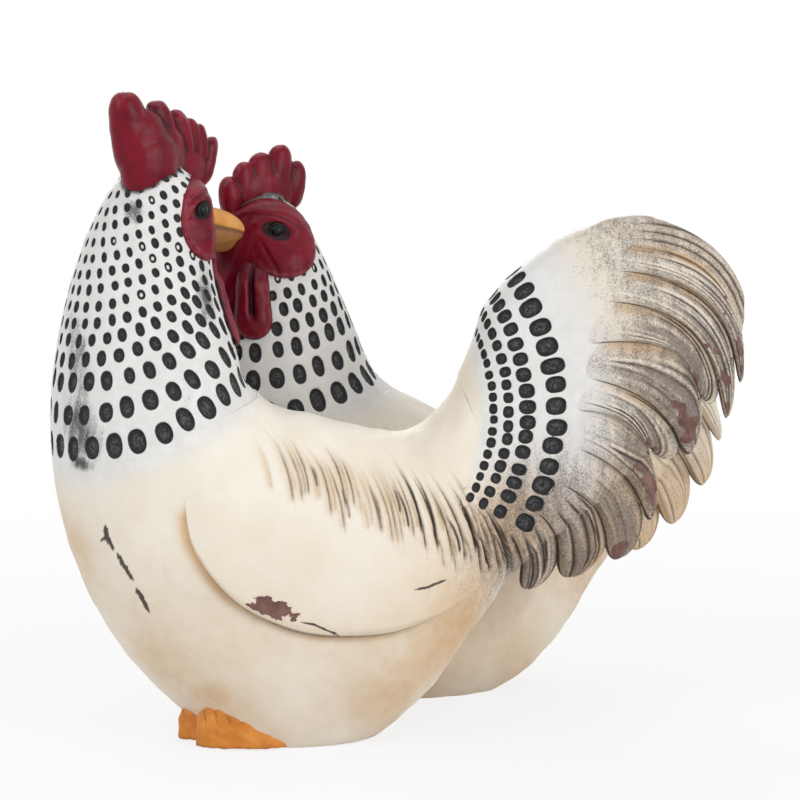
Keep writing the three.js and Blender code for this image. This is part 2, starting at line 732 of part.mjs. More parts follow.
const pair = new THREE.Group();
pair.add(makeBird(ROOSTER, SMOKE), makeBird(HEN, IVORY));
piece(pair, 'dowel_front', dowel(DOWEL_FRONT, DOWEL_RADIUS, DOWEL_LENGTH), PINE, 0.8);
piece(pair, 'dowel_rear', dowel(DOWEL_REAR, DOWEL_RADIUS, DOWEL_LENGTH), PINE, 0.8);

// The origin is the middle of the footprint's box, on the ground
const box = new THREE.Box3().setFromObject(pair);
const middle = box.getCenter(new THREE.Vector3());
pair.position.set(-middle.x, -middle.y, -box.min.z);

export default pair;
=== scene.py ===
import math
from contextlib import contextmanager

import bmesh
import bpy
import numpy as np
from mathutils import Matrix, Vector


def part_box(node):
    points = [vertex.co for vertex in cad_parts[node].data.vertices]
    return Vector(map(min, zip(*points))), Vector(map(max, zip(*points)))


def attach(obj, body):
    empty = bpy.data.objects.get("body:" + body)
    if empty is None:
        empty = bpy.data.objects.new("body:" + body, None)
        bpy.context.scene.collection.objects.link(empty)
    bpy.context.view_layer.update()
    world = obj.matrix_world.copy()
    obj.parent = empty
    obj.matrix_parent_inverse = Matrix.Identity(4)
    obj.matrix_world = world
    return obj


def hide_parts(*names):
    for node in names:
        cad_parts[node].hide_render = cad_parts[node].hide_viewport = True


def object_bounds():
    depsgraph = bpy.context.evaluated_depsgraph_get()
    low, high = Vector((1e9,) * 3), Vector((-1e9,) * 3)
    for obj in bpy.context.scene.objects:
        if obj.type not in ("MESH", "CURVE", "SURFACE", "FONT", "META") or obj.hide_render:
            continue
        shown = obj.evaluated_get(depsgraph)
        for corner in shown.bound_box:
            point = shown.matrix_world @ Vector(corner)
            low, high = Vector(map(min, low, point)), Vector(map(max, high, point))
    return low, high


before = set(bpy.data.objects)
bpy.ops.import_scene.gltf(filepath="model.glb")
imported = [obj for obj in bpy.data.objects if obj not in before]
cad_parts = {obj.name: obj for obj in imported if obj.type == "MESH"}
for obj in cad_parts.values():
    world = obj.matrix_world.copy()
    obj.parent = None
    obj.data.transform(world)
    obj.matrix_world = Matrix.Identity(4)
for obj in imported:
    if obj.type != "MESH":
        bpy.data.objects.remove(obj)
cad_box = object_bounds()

# All lengths are in millimetres in the part's working frame until a mesh is made
MM = 0.001
DOWEL_FRONT = (-28, 0, 70)
PAIR_SPACING = 76
ROUNDNESS = 0.9

# The lean of the heads, over angles round the pivot
LEAN = 9.5
LEAN_FROM = 224
LEAN_SPAN = 40
FAR_AWAY = 1e3

# The flank that meets the other bird
PRESS_FROM = 35
SEAM = 0.05

# A fan row is angle, inner radius, outer radius, half width and thinning of the rim
ROOSTER = {
    "name": "rooster", "side": -1, "pivot": (-5, 185), "crown": (161.2, 86), "tail_top": (364.8, 88),
    "rows": [
        [162.4, 78.5, 93, 6.5, 0], [165, 71, 97, 12, 0], [169, 65.8, 101, 15.8, 0],
        [175, 64.4, 106, 18.4, 0], [184, 64.6, 113.3, 20.8, 0], [195, 65.4, 124, 25.5, 0],
        [207, 66.8, 139, 32, 0], [217, 69.4, 153, 38, 0], [227, 74, 168.5, 42.5, 0],
        [236, 74.7, 181, 45, 0], [247, 71, 193.5, 46, 0], [258, 71, 204, 46, 0],
        [268, 72.2, 189, 45, 0], [276, 72.4, 169, 42, 0], [283, 69, 149, 37, 0],
        [290, 63.7, 134, 31, 0], [297, 57.7, 128, 27, 0], [304, 52.7, 126, 24.5, 0.12],
        [312, 48.3, 125, 22, 0.28], [322, 44.2, 125, 20, 0.4], [332, 44.7, 129, 18, 0.45],
        [342, 47.2, 135, 16, 0.45], [350, 52.6, 133, 13.5, 0.4], [356, 58.5, 124, 11, 0.3],
        [361, 67, 111, 7.5, 0.2], [363.8, 78, 98, 3.5, 0]],
    "tail_from": 297, "saddle_from": 238, "neck_to": 246, "body_from": 203,
    "cape": (-126, 104, 0.306), "cape_dip": (-98, 37, 5.5), "white_to": 236,
    "head": (-90, 45),
    "comb_base": [(-5, -2.6, -1.6, (12.4, 9.0, 13.4)), (-7.4, -1.5, 4.5, (10.4, 7.9, 14.5)),
                  (1, -1.2, 1.5, (11.5, 6.4, 12.5)), (8, -0.4, -4.4, (17.5, 4.5, 9.4)),
                  (10, 0, 1.8, (14.5, 3.4, 10.2))],
    "comb_lobes": [(-11.8, -0.16, 7.7, 6.8, -8, 25.7), (4.4, -0.30, 5.7, 4.9, -4, 21.4),
                   (13.4, -0.28, 4.4, 4.0, -4, 17.2), (18.6, -0.22, 3.7, 3.6, -4, 13.6),
                   (22.3, -0.10, 3.3, 3.4, -4, 11.0), (26.0, 0.30, 3.6, 3.4, -12.5, 5.6)],
    "comb_power": (0.75, 0.68), "comb_shade_reach": 2.8,
    "face": (9, 191, 14, 15.8), "eye": (4.5, 195), "beak": (185.4, 44, 3.6, 8.6, 7.6),
    "wattle": {"top": (42, 178), "end": (45, 149), "radii": (5.2, 6.4), "rise": 3.4}, "throat": (176, 24),
    "wing_lower": [(-78, 96), (-75, 79), (-66, 65), (-54, 54.5), (-36, 47), (-18, 45.4), (0, 47),
                   (18, 53.5), (33, 63)],
    "wing_upper": [(-77, 100), (-66, 106), (-40, 107), (-15, 102), (12, 88), (34, 65.5)],
    "plumes": [((69, 182), (120.4, 189), (126, 144)), ((67.4, 174), (124, 177), (123.5, 128)),
               ((63.8, 163), (117, 167), (118, 115.5)), ((61.4, 146.5), (98.5, 154), (109, 135.5)),
               ((61.4, 136.5), (100, 131), (104.5, 98.5)), ((60.8, 123), (80.5, 125), (90, 110)),
               ((59.4, 111), (88, 102), (91.5, 74)), ((55, 98), (78, 87), (75.5, 63.5)),
               ((48, 87.5), (61, 77.5), (57, 58)), ((37.5, 82), (48, 68), (43, 53.4))],
    "collar": (-24, 124), "collar_low": -33,
    "collar_rows": [(81, 7.4, 4.4), (70.5, 5.8, 3.05), (63.5, 5.0, 2.05), (58, 4.2, 1.65)],
    "collar_white": (55, 87),
    "saddle": ((-56, 121), (22, 102), (13, -28), (20, -43)),
    "soot": [(-116, 119, 9.5, 16, 0.85), (-115.5, 106, 5.4, 3.6, 0.93), (-117, 140, 6, 26, 0.72),
             (-97, 196, 6, 7, 0.8), (-71, 164, 4, 13, 0.85)], "rings": (-82, 174, 9),
    "smoke": 1.0, "toes": [(-75, 26), (-82, 15)], "heel": -38,
}
HEN = {
    "name": "hen", "side": 1, "pivot": (36, 172), "crown": (165.6, 89.5), "tail_top": (349.6, 65),
    "rows": [
        [167, 82, 97, 6.5, 0], [169.5, 76.5, 101.5, 11.5, 0], [173, 72, 104.5, 14.8, 0],
        [178, 68.2, 107.5, 17.4, 0], [185, 64.6, 113, 20.4, 0], [193, 62.4, 121.5, 24.5, 0],
        [203, 61.6, 134, 30.5, 0], [213, 63, 147.5, 36, 0], [222, 66, 159, 40, 0],
        [232, 68.4, 172, 43, 0], [244, 68, 184, 44, 0], [256, 68.6, 190, 44, 0],
        [266, 69, 181, 43.5, 0], [273, 69, 169, 41, 0], [280, 66.5, 153, 36, 0],
        [287, 61.5, 135, 30, 0], [293, 56.5, 126, 26, 0], [300, 52, 116, 24, 0.15],
        [308, 48.5, 109, 22, 0.3], [316, 46.5, 101, 19.5, 0.35], [325, 46.5, 93, 17, 0.35],
        [334, 48, 86, 14, 0.3], [342, 51.5, 80, 10, 0.2], [347.5, 57, 74, 5.5, 0]],
    "tail_from": 293, "saddle_from": 236, "neck_to": 242, "body_from": 196,
    "cape": (-50, 110, 0.12), "cape_dip": (-52, 37, 5.0), "white_to": 232,
    "head": (-51, 215),
    "comb_base": [(0.4, 0, -0.6, (16.4, 5.0, 9.0)), (0, 0, 1.2, (14.5, 3.2, 9.4))],
    "comb_lobes": [(-12.8, -0.16, 4.8, 4.0, -9.5, 9.4), (-5.4, -0.12, 6.2, 4.4, -7, 16.2),
                   (3.0, -0.08, 6.0, 4.4, -7, 13.8), (10.0, -0.02, 5.0, 4.2, -8, 10.8),
                   (16.2, 0.08, 4.3, 4.4, -10, 5.6)],
    "comb_power": (0.92, 0.82), "comb_shade_reach": 7.0,
    "face": (4, 177, 15.5, 15), "eye": (5, 180), "beak": (177.0, 38, 2, 5.6, 6.0),
    "wattle": {"top": (42, 173), "end": (46, 147.5), "radii": (7.2, 7.6), "rise": 5.0}, "throat": (165, 24),
    "wing_lower": [(-37, 89), (-34, 73), (-26, 60), (-14, 50), (4, 43), (21, 42), (38, 44), (54, 51),
                   (68, 60)],
    "wing_upper": [(-36, 93), (-25, 98.5), (-1, 99.5), (22, 95), (48, 82), (69, 62.5)],
    "plumes": [((82, 151), (108, 157), (116, 128)), ((81, 141), (113, 143), (121, 109)),
               ((80, 127), (111, 122), (122, 92)), ((78, 111), (106, 102), (113.5, 75)),
               ((74, 96), (96, 86), (101.5, 60.5)), ((67, 83), (83, 72), (87, 51.5))],
    "collar": (17, 111), "collar_low": -31,
    "collar_rows": [(66, 6.6, 3.7), (57, 5.2, 2.7), (51, 4.4, 1.8)],
    "collar_white": (49, 71),
    "saddle": ((-14, 110), (55, 92), (11, -23), (16, -35)),
    "soot": [(-68, 122, 4.5, 16, 0.8)], "rings": (-60, 150, 4),
    "smoke": 0.35, "toes": [(-34, 25), (-41, 14.5)], "heel": -2,
}

# Skin grids: columns round a section, degrees between sections, sections in a rounded end
AROUND = 470
NECK_STEP = 0.36
BREAST_STEP = 0.3
RUMP_STEP = 0.24
TAIL_STEP = 0.33
END_ROWS = 9

# Paint layers kept on the points of a casting, and the value of a mark where there is none
LAYERS = ("white", "tan", "smoke", "soot_and_shade", "line", "dot", "speck", "chip")
OUTSIDE = -4.0

# Random draws
SADDLE_SEED = 11
NECK_SEED = 23
COLLAR_SEED = 29
PLUME_SEEDS = {-1: 3, 1: 7}

# Saddle feathers and the turn round a section where the skin's columns stand closest
SADDLE_LINES = 56
SADDLE_TURN = 2.15
SADDLE_CROWD = 1.7
GROOVE_LIMIT = 1.9
CREST_LINES = 4

# Grooves: how far round a line is looked at, and how far its lip and its tan painted shade spread
LINE_REACH = 9
LIP_SPREAD = 2.6
SHADE_SPREAD = 2.4

# Dots: the share of a bare middle, jitter by spacing, spread of sizes, and how far off the skin
# a place may lie
RING_SIZE = 0.42
DOT_JITTER = 0.035
DOT_SIZES = (0.86, 1.06)
DOT_GAP = 3.0
ROW_PHASES = 16
RINGS_FROM = 30
HACKLE_POWER = 2.2
COLLAR_POWER = 2.5

# Rows of neck dots: height above the cape, spacing, half width and half height
CAPE_LIFT = 2.4
HACKLE_ROWS = [
    (0, 9.7, 3.5, 4.7), (12.4, 8.9, 2.95, 4.2), (23.4, 7.9, 2.5, 3.75), (31.2, 7.0, 2.1, 3.1),
    (37.8, 6.3, 1.85, 2.75), (43.6, 5.8, 1.62, 2.45), (49.6, 5.5, 1.5, 2.25), (55.4, 5.3, 1.45, 2.15),
    (60.8, 5.2, 1.4, 2.05), (66.2, 5.1, 1.35, 2.0), (71.6, 5.0, 1.3, 1.9), (77, 5.0, 1.3, 1.85)]
CROWN_ROWS = 8
CROWN_RISE = 5.1
CROWN_DOTS = (4.9, 1.28, 1.8)

# The chip on the rooster's wing, and the side-view lines and half widths of its cracks
WING_CHIP = {"centre": (-46, 56.5), "half": (8.2, 3.6), "tilt": -18, "seed": 41}
CRACKS = [
    ([(-36, 51.6), (-31, 50.6), (-26, 48.0), (-21.5, 45.8)], 0.32),
    ([(5.4, 62.6), (10.5, 63.3), (13, 64.3), (17, 65.3)], 0.32),
    ([(-107.2, 84.5), (-106.7, 80.8), (-105.4, 78.2), (-103.9, 75.1)], 0.75),
    ([(-109.2, 78.4), (-107.8, 79.3), (-106.4, 80.4)], 0.45),
    ([(-103, 74.8), (-99.8, 69.7), (-96.7, 64.3)], 0.75),
    ([(-96.1, 62), (-93.8, 57.5), (-91.5, 52)], 0.7)]

# Wing: how far its lower edge stands out, the share of it that is rounded, and what is sunk
WING_RISE = 4.1
WING_LIP = 0.075
WING_SUNK = 3.2

# Plumes: where they start and round off, how far they stand out, and how deep they are set
PLUME_ROOT = 0.045
PLUME_BASE = 0.7
PLUME_RISE = 4.3
PLUME_LIP = 0.26
PLUME_SUNK = 2.6
TIP_FROM = 0.8
TIP_AT = 0.24
TIP_BULGE = 0.12
BARB_LINES = 9
COVERT_FROM = 8
COVERT_SPLITS = (0.36, 0.68)
DOTTED_FROM = 6

# Heads
HEAD_REACH = 70.0
FACE_SEAT = 4.2
FACE_BACK = 1.6
WATTLE_SUNK = 4.6
WATTLE_RADIUS = 26
EYE_TILT = 18
EYE_RADIUS = 3.3
EYE_SIDES = 48
EYE_RIM = 0.62
EYE_PROFILE = [(0.0, 0.5), (0.2, 0.48), (0.4, 0.41), (0.58, 0.28), (0.66, 0.19), (0.7, 0.13),
               (0.8, 0.21), (0.92, 0.17), (1.0, 0.0), (1.0, -0.5), (0.0, -0.5)]
BEAK_FROM = 8.0
BEAK_ROWS = 90
BEAK_SIDES = 96

# Fused lumps: voxel size and rounds of softening
VOXEL = 0.5
COMB_ROUNDS = 14
FOOT_ROUNDS = 4

# Feet and plugs
SOLE = 0.25
FOOT_HEIGHT = 17.5
TOE_WIDTH = 14
SCUTE = 4.4
PLUG_HOLE = 12.3
PLUG_HEIGHT = 5.6
PLUG_ROOM = 0.6
PLUG_SIDES = 72

# Studio: camera in millimetres, lamps by name, place and size in metres, and power
LENS = 220
SENSOR = 36
DISTANCE = 1838
ELEVATION = 10
TARGET = (0, 0, 117.61866623)
LAMPS = [("key", (-1.0, -0.95, 0.95), 1.0, 7.9), ("fill", (1.1, -0.9, 0.55), 1.1, 10.0),
         ("top", (0.1, 0.25, 1.5), 1.2, 4.0), ("back", (-0.4, 1.3, 0.7), 1.0, 6.6)]
LAMP_AIM = (0, 0, 0.11)
FLOOR_HALF = 6.0
FLOOR_DROP = 0.0003
FLOOR_COLOUR = (0.86, 0.86, 0.86, 1)
FLOOR_GLOW = (("From Min", 0.16), ("From Max", 0.5), ("To Min", 0.8), ("To Max", 1.0))
SKY_COLOUR = (0.97, 0.985, 1.0, 1)
SKY_STRENGTH = 0.46


# Curves and numbers

def smooth(low, high, value):
    """Nought below one value, one above another and an even rise between them."""
    p = np.clip((value - low) / (high - low), 0, 1)
    return p * p * (3 - 2 * p)


def hump(distance, width):
    """One at the middle, falling off on both sides."""
    return np.exp(-(distance / width) ** 2)


def round_edge(share):
    """The height of a quarter circle, from nought at its foot to one."""
    return np.sqrt(1 - (1 - np.clip(share, 0, 1)) ** 2)


def hermite(knots, values, at):
    """A smooth curve through values at knots."""
    step = np.diff(knots)
    slope = np.diff(values, axis=0) / step[:, None]
    weight = (step[:-1] + step[1:])[:, None]
    middle = (slope[:-1] * step[1:, None] + slope[1:] * step[:-1, None]) / weight
    tangent = np.vstack([slope[:1], middle, slope[-1:]])
    i = np.clip(np.searchsorted(knots, at, side="right") - 1, 0, len(step) - 1)
    h = step[i][..., None]
    p = ((at - knots[i]) / step[i])[..., None]
    start = (2 * p ** 3 - 3 * p ** 2 + 1) * values[i] + (p ** 3 - 2 * p ** 2 + p) * h * tangent[i]
    end = (3 * p ** 2 - 2 * p ** 3) * values[i + 1] + (p ** 3 - p ** 2) * h * tangent[i + 1]
    return start + end


def spline(points, at):
    """A smooth line through points."""
    points = np.array(points, float)
    return hermite(np.linspace(0, 1, len(points)), points, np.asarray(at, float))


def bezier(edge, at):
    """A bent line from its root, its bend and its end."""
    root, bend, end = (np.array(p, float) for p in edge)
    at = np.asarray(at, float)[..., None]
    return (1 - at) ** 2 * root + 2 * at * (1 - at) * bend + at ** 2 * end


def turned(u, v, degrees):
    """Two coordinates seen from axes turned by an angle."""
    c, s = math.cos(math.radians(degrees)), math.sin(math.radians(degrees))
    return u * c + v * s, v * c - u * s


def all_round(count):
    """Even turns round a circle."""
    return 2 * np.pi * np.arange(count) / count


def waves(points, size, seed, count=14):
    """Smooth lumps of about one size, in all directions."""
    rng = np.random.default_rng(seed)
    ways = rng.normal(size=(count, points.shape[-1]))
    ways /= np.linalg.norm(ways, axis=1, keepdims=True)
    ways *= (2 * np.pi / size * rng.uniform(0.6, 1.5, count))[:, None]
    return np.sin(points @ ways.T + rng.uniform(0, 2 * np.pi, count)).sum(-1) / math.sqrt(count / 2)


def track(points, line):
    """Distance from each point to a line of points, how far along it and on which side."""
    line = np.asarray(line, float)
    near = np.full(len(points), 1e9)
    along = np.zeros(len(points))
    side = np.zeros(len(points))
    count = len(line) - 1
    for k in range(count):
        a, b = line[k], line[k + 1]
        way = b - a
        p = np.clip(((points - a) @ way) / (way @ way), 0, 1)
        off = points - a - p[:, None] * way
        distance = np.hypot(off[:, 0], off[:, 1])
        better = distance < near
        near = np.where(better, distance, near)
        along = np.where(better, (k + p) / count, along)
        side = np.where(better, np.sign(way[0] * off[:, 1] - way[1] * off[:, 0]), side)
    return near, along, side


class Fan:
    """A bird's skin: sections set out round a pivot line."""

    def __init__(self, bird):
        rows = np.array(bird["rows"], float)
        self.bird = bird
        self.angles = rows[:, 0]
        self.values = rows[:, 1:]
        self.pivot = bird["pivot"]

    def section(self, angle):
        """Middle radius, reach, half width and thinning at an angle, closed at both ends."""
        angle = np.asarray(angle, float)
        first, last = self.angles[0], self.angles[-1]
        values = hermite(self.angles, self.values, np.clip(angle, first, last))
        inner, outer, half, thin = np.moveaxis(values, -1, 0)
        middle = (inner + outer) / 2
        reach = (outer - inner) / 2
        for (end, radius), limit in ((self.bird["crown"], first), (self.bird["tail_top"], last)):
            past = np.clip((angle - limit) / (end - limit), 0, 1)
            fade = np.sqrt(1 - past ** 2)
            middle = middle + (radius - middle) * past
            reach = reach * fade
            half = half * fade
        return middle, reach, half, thin

    def lean(self, angle):
        """How far the head end leans towards the other bird."""
        return -self.bird["side"] * LEAN * smooth(0, LEAN_SPAN, LEAN_FROM - np.asarray(angle, float))

    def point(self, angle, turn):
        """A place on the skin, by its section and the turn round it."""
        middle, reach, half, thin = self.section(angle)
        c, s = np.cos(turn), np.sin(turn)
        radius = middle + reach * c
        width = half * np.abs(s) ** ROUNDNESS * (1 - thin * c)
        a = np.radians(angle)
        x = self.pivot[0] + radius * np.cos(a)
        z = self.pivot[1] + radius * np.sin(a)
        y = self.beside_mate(np.sign(s) * width + self.lean(angle))
        return np.stack([x, y, z], -1)

    def beside_mate(self, y):
        """Presses the flank that meets the other bird flat, without an edge."""
        side = self.bird["side"]
        room = PAIR_SPACING / 2 - SEAM - PRESS_FROM
        past = np.maximum(-side * y - PRESS_FROM, 0)
        return y + side * (past - room * np.tanh(past / room))

    def polar(self, x, z):
        dx, dz = x - self.pivot[0], z - self.pivot[1]
        angle = np.degrees(np.arctan2(dz, dx))
        return np.where(angle < 100, angle + 360, angle), np.hypot(dx, dz)

    def width(self, x, z):
        """Half width at a place in side view, with its angle and its share across the section."""
        angle, radius = self.polar(x, z)
        middle, reach, half, thin = self.section(angle)
        c = np.clip((radius - middle) / np.maximum(reach, 1e-6), -1, 1)
        return half * (1 - c * c) ** (ROUNDNESS / 2) * (1 - thin * c), angle, c

    def inside(self, p):
        width, angle, c = self.width(p[..., 0], p[..., 2])
        return (np.abs(c) < 1) & (np.abs(p[..., 1] - self.lean(angle)) < width)


class Coat:
    """Points of one surface in the bird's frame, with what is carved and painted on them."""

    def __init__(self, points, normals):
        self.points = points
        self.normals = normals
        self.depth = np.zeros(len(points))
        self.layers = {name: np.zeros(len(points)) for name in LAYERS}
        for name in ("dot", "speck", "chip"):
            self.layers[name] += OUTSIDE

    def side_view(self):
        return self.points[:, [0, 2]]

    def raise_to(self, name, value, where=slice(None)):
        """Lays paint on, where there is less of it."""
        self.layers[name][where] = np.maximum(self.layers[name][where], value)

    def carved(self):
        return self.points + self.normals * self.depth[:, None]


def grid_normals(grid, closed):
    if closed:
        across = np.roll(grid, -1, 1) - np.roll(grid, 1, 1)
    else:
        across = np.gradient(grid, axis=1)
    normal = np.cross(across, np.gradient(grid, axis=0))
    return normal / np.maximum(np.linalg.norm(normal, axis=-1, keepdims=True), 1e-9)


# Meshes

root_shift = (Vector(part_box("dowel_front")[0]) + Vector(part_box("dowel_front")[1])) / 2
root_shift -= Vector(DOWEL_FRONT) * MM


def in_box(points):
    """Keeps points, in metres, inside the box of the frame."""
    return np.clip(points, *(np.array(corner, float) for corner in cad_box))


def add_object(name, data):
    made = bpy.data.objects.new(name, data)
    bpy.context.scene.collection.objects.link(made)
    return made


def add_layers(mesh, layers):
    for name, values in layers.items():
        layer = mesh.attributes.new(name, "FLOAT", "POINT")
        layer.data.foreach_set("value", np.asarray(values, np.float32))


def make_piece(name, points, faces, material, layers=None):
    mesh = bpy.data.meshes.new(name)
    points = in_box(np.asarray(points, float) * MM + np.array(root_shift))
    mesh.from_pydata(points.tolist(), [], [list(map(int, f)) for f in faces])
    add_layers(mesh, layers or {})
    mesh.materials.append(material)
    return add_object(name, mesh)


@contextmanager
def edited(piece):
    """Opens the mesh of a piece for edits and writes it back."""
    bm = bmesh.new()
    bm.from_mesh(piece.data)
    yield bm
    bm.to_mesh(piece.data)
    bm.free()


def tidy_mesh(piece):
    """Turns all faces outwards and shades them smooth."""
    with edited(piece) as bm:
        bmesh.ops.recalc_face_normals(bm, faces=bm.faces)
        for face in bm.faces:
            face.smooth = True


def cut_below(bm, spot, normal, gap):
    """Takes away what lies behind a plane."""
    geometry = bm.verts[:] + bm.edges[:] + bm.faces[:]
    bmesh.ops.bisect_plane(bm, geom=geometry, plane_co=spot, plane_no=normal, clear_inner=True, dist=gap)


def cut_piece(piece, planes):
    """Cuts a closed tube of skin with planes, each kept on its normal's side, and fills the cuts."""
    with edited(piece) as bm:
        for face in bm.faces:
            face.smooth = True
        fill_holes(bm)
        for spot, normal in planes:
            cut_below(bm, Vector(spot) * MM + root_shift, Vector(normal), 1e-7)
            fill_holes(bm)
        bmesh.ops.recalc_face_normals(bm, faces=bm.faces)


def fill_holes(bm):
    """Closes open rims with flat faces."""
    edges = [edge for edge in bm.edges if edge.is_boundary]
    if not edges:
        return
    for face in bmesh.ops.holes_fill(bm, edges=edges, sides=0)["faces"]:
        face.smooth = False
        for edge in face.edges:
            edge.smooth = False


def quads(index):
    """Faces between the neighbours of a grid."""
    parts = [index[:-1, :-1], index[1:, :-1], index[1:, 1:], index[:-1, 1:]]
    return np.stack(parts, -1).reshape(-1, 4)


def shell(outer, inner):
    """A closed piece from two grids of the same size, joined round their rim."""
    rows, columns = outer.shape[:2]
    index = np.arange(rows * columns).reshape(rows, columns)
    front = quads(index)
    rim = np.concatenate([index[0, :-1], index[:-1, -1], index[-1, :0:-1], index[:0:-1, 0]])
    after = np.roll(rim, -1)
    size = rows * columns
    wall = np.stack([rim, rim + size, after + size, after], -1)
    points = np.concatenate([outer.reshape(-1, 3), inner.reshape(-1, 3)])
    return points, np.concatenate([front, front[:, ::-1] + size, wall])


def stand_in(bird, points):
    """Moves points from the bird's frame to its side of the pair."""
    return points + np.array([0, bird["side"] * PAIR_SPACING / 2, 0])


def shell_piece(bird, part, outer, inner, material, layers):
    """A closed casting from two grids, in place of its node."""
    points, faces = shell(outer, inner)
    doubled = {key: np.concatenate([value, value]) for key, value in layers.items()}
    node = bird["name"] + "_" + part
    piece = make_piece(node + "_casting", stand_in(bird, points), faces, material, doubled)
    tidy_mesh(piece)
    settle(piece, node)


def settle(piece, node):
    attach(piece, "root")
    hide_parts(node)


def baked(piece):
    """Applies the modifiers of a piece to its mesh."""
    graph = bpy.context.evaluated_depsgraph_get()
    mesh = bpy.data.meshes.new_from_object(piece.evaluated_get(graph))
    piece.modifiers.clear()
    piece.data = mesh


# Materials

class Paint:
    """Shorthand for one node material."""

    def __init__(self, name):
        self.material = bpy.data.materials.new(name)
        self.material.use_nodes = True
        self.tree = self.material.node_tree
        self.shader = self.tree.nodes["Principled BSDF"]
        coordinates = self.tree.nodes.new("ShaderNodeTexCoord")
        self.place = coordinates.outputs["Object"]

    def put(self, socket, value):
        if isinstance(value, bpy.types.NodeSocket):
            self.tree.links.new(value, socket)
        elif hasattr(value, "__len__"):
            socket.default_value = tuple(value) + (1.0,) * (len(socket.default_value) - len(value))
        else:
            socket.default_value = value

    def attribute(self, name):
        node = self.tree.nodes.new("ShaderNodeAttribute")
        node.attribute_name = name
        return node.outputs["Fac"]

    def noise(self, size, detail=3.0, rough=0.55, stretch=None):
        node = self.tree.nodes.new("ShaderNodeTexNoise")
        node.inputs["Scale"].default_value = 1 / (size * MM)
        node.inputs["Detail"].default_value = detail
        node.inputs["Roughness"].default_value = rough
        place = self.place
        if stretch:
            scale = self.tree.nodes.new("ShaderNodeMapping")
            scale.inputs["Scale"].default_value = stretch
            self.tree.links.new(place, scale.inputs["Vector"])
            place = scale.outputs["Vector"]
        self.tree.links.new(place, node.inputs["Vector"])
        return node.outputs["Fac"]

    def math(self, kind, a, b):
        node = self.tree.nodes.new("ShaderNodeMath")
        node.operation = kind
        self.put(node.inputs[0], a)
        self.put(node.inputs[1], b)
        return node.outputs[0]

    def sum(self, *terms):
        """Values added up, each times its share."""
        total = None
        for value, share in terms:
            part = self.math("MULTIPLY", value, share)
            total = part if total is None else self.math("ADD", total, part)
        return total

    def ramp(self, value, low, high, to_low=0.0, to_high=1.0):
        node = self.tree.nodes.new("ShaderNodeMapRange")
        node.interpolation_type = "SMOOTHSTEP"
        for key, number in (("Value", value), ("From Min", low), ("From Max", high),
                            ("To Min", to_low), ("To Max", to_high)):
            self.put(node.inputs[key], number)
        return node.outputs["Result"]

    def mix(self, share, a, b):
        node = self.tree.nodes.new("ShaderNodeMix")
        node.data_type = "RGBA"
        self.put(node.inputs[0], share)
        self.put(node.inputs[6], a)
        self.put(node.inputs[7], b)
        return node.outputs[2]

    def bump(self, height, distance, strength):
        node = self.tree.nodes.new("ShaderNodeBump")
        node.inputs["Strength"].default_value = strength
        node.inputs["Distance"].default_value = distance * MM
        self.tree.links.new(height, node.inputs["Height"])
        return node.outputs["Normal"]

    def finish(self, colour, rough, normal, specular):
        self.put(self.shader.inputs["Base Color"], colour)
        self.put(self.shader.inputs["Roughness"], rough)
        self.put(self.shader.inputs["Normal"], normal)
        self.shader.inputs["Specular IOR Level"].default_value = specular
        return self.material


def casting_ground(p, layer, noise):
    """Ivory with tan, in part painted shade, and brushed white."""
    broad, brush = noise["broad"], noise["brush"]
    ivory = p.mix(p.ramp(broad, 0.35, 0.68), (0.84, 0.785, 0.69), (0.80, 0.725, 0.60))
    ivory = p.mix(p.ramp(brush, 0.55, 0.8, 0, 0.35), ivory, (0.88, 0.835, 0.75))
    tan = p.math("MULTIPLY", layer["tan"], p.ramp(brush, 0.2, 0.75, 0.78, 1.05))
    colour = p.mix(p.ramp(tan, 0, 1, 0, 0.92), ivory, (0.62, 0.40, 0.205))
    white = p.mix(p.ramp(brush, 0.35, 0.8), (0.715, 0.70, 0.678), (0.79, 0.783, 0.77))
    return p.mix(p.ramp(layer["white"], 0.08, 0.9), colour, white)


def casting_smoke_and_shade(p, layer, noise, colour):
    """Dry-brushed smoke over a haze of it, and soot and painted shade in near black."""
    speckle, streak = noise["speckle"], noise["streak"]
    haze = p.math("MULTIPLY", layer["smoke"], p.ramp(noise["brush"], 0.25, 0.7, 0.22, 0.62))
    colour = p.mix(haze, colour, (0.33, 0.265, 0.215))
    dusty = p.sum((layer["smoke"], 0.68), (speckle, 0.8), (streak, 0.45))
    smoke = p.mix(p.ramp(noise["grain"], 0.35, 0.7), (0.11, 0.083, 0.069), (0.23, 0.182, 0.152))
    colour = p.mix(p.ramp(dusty, 0.78, 1.16, 0, 0.86), colour, smoke)
    # Soot, and painted shade round the comb's base, mixed in near black
    soot_and_shade_share = p.sum((layer["soot_and_shade"], 0.7), (streak, 0.55), (speckle, 0.4))
    return p.mix(p.ramp(soot_and_shade_share, 0.74, 1.12, 0, 0.93), colour, (0.030, 0.028, 0.030))


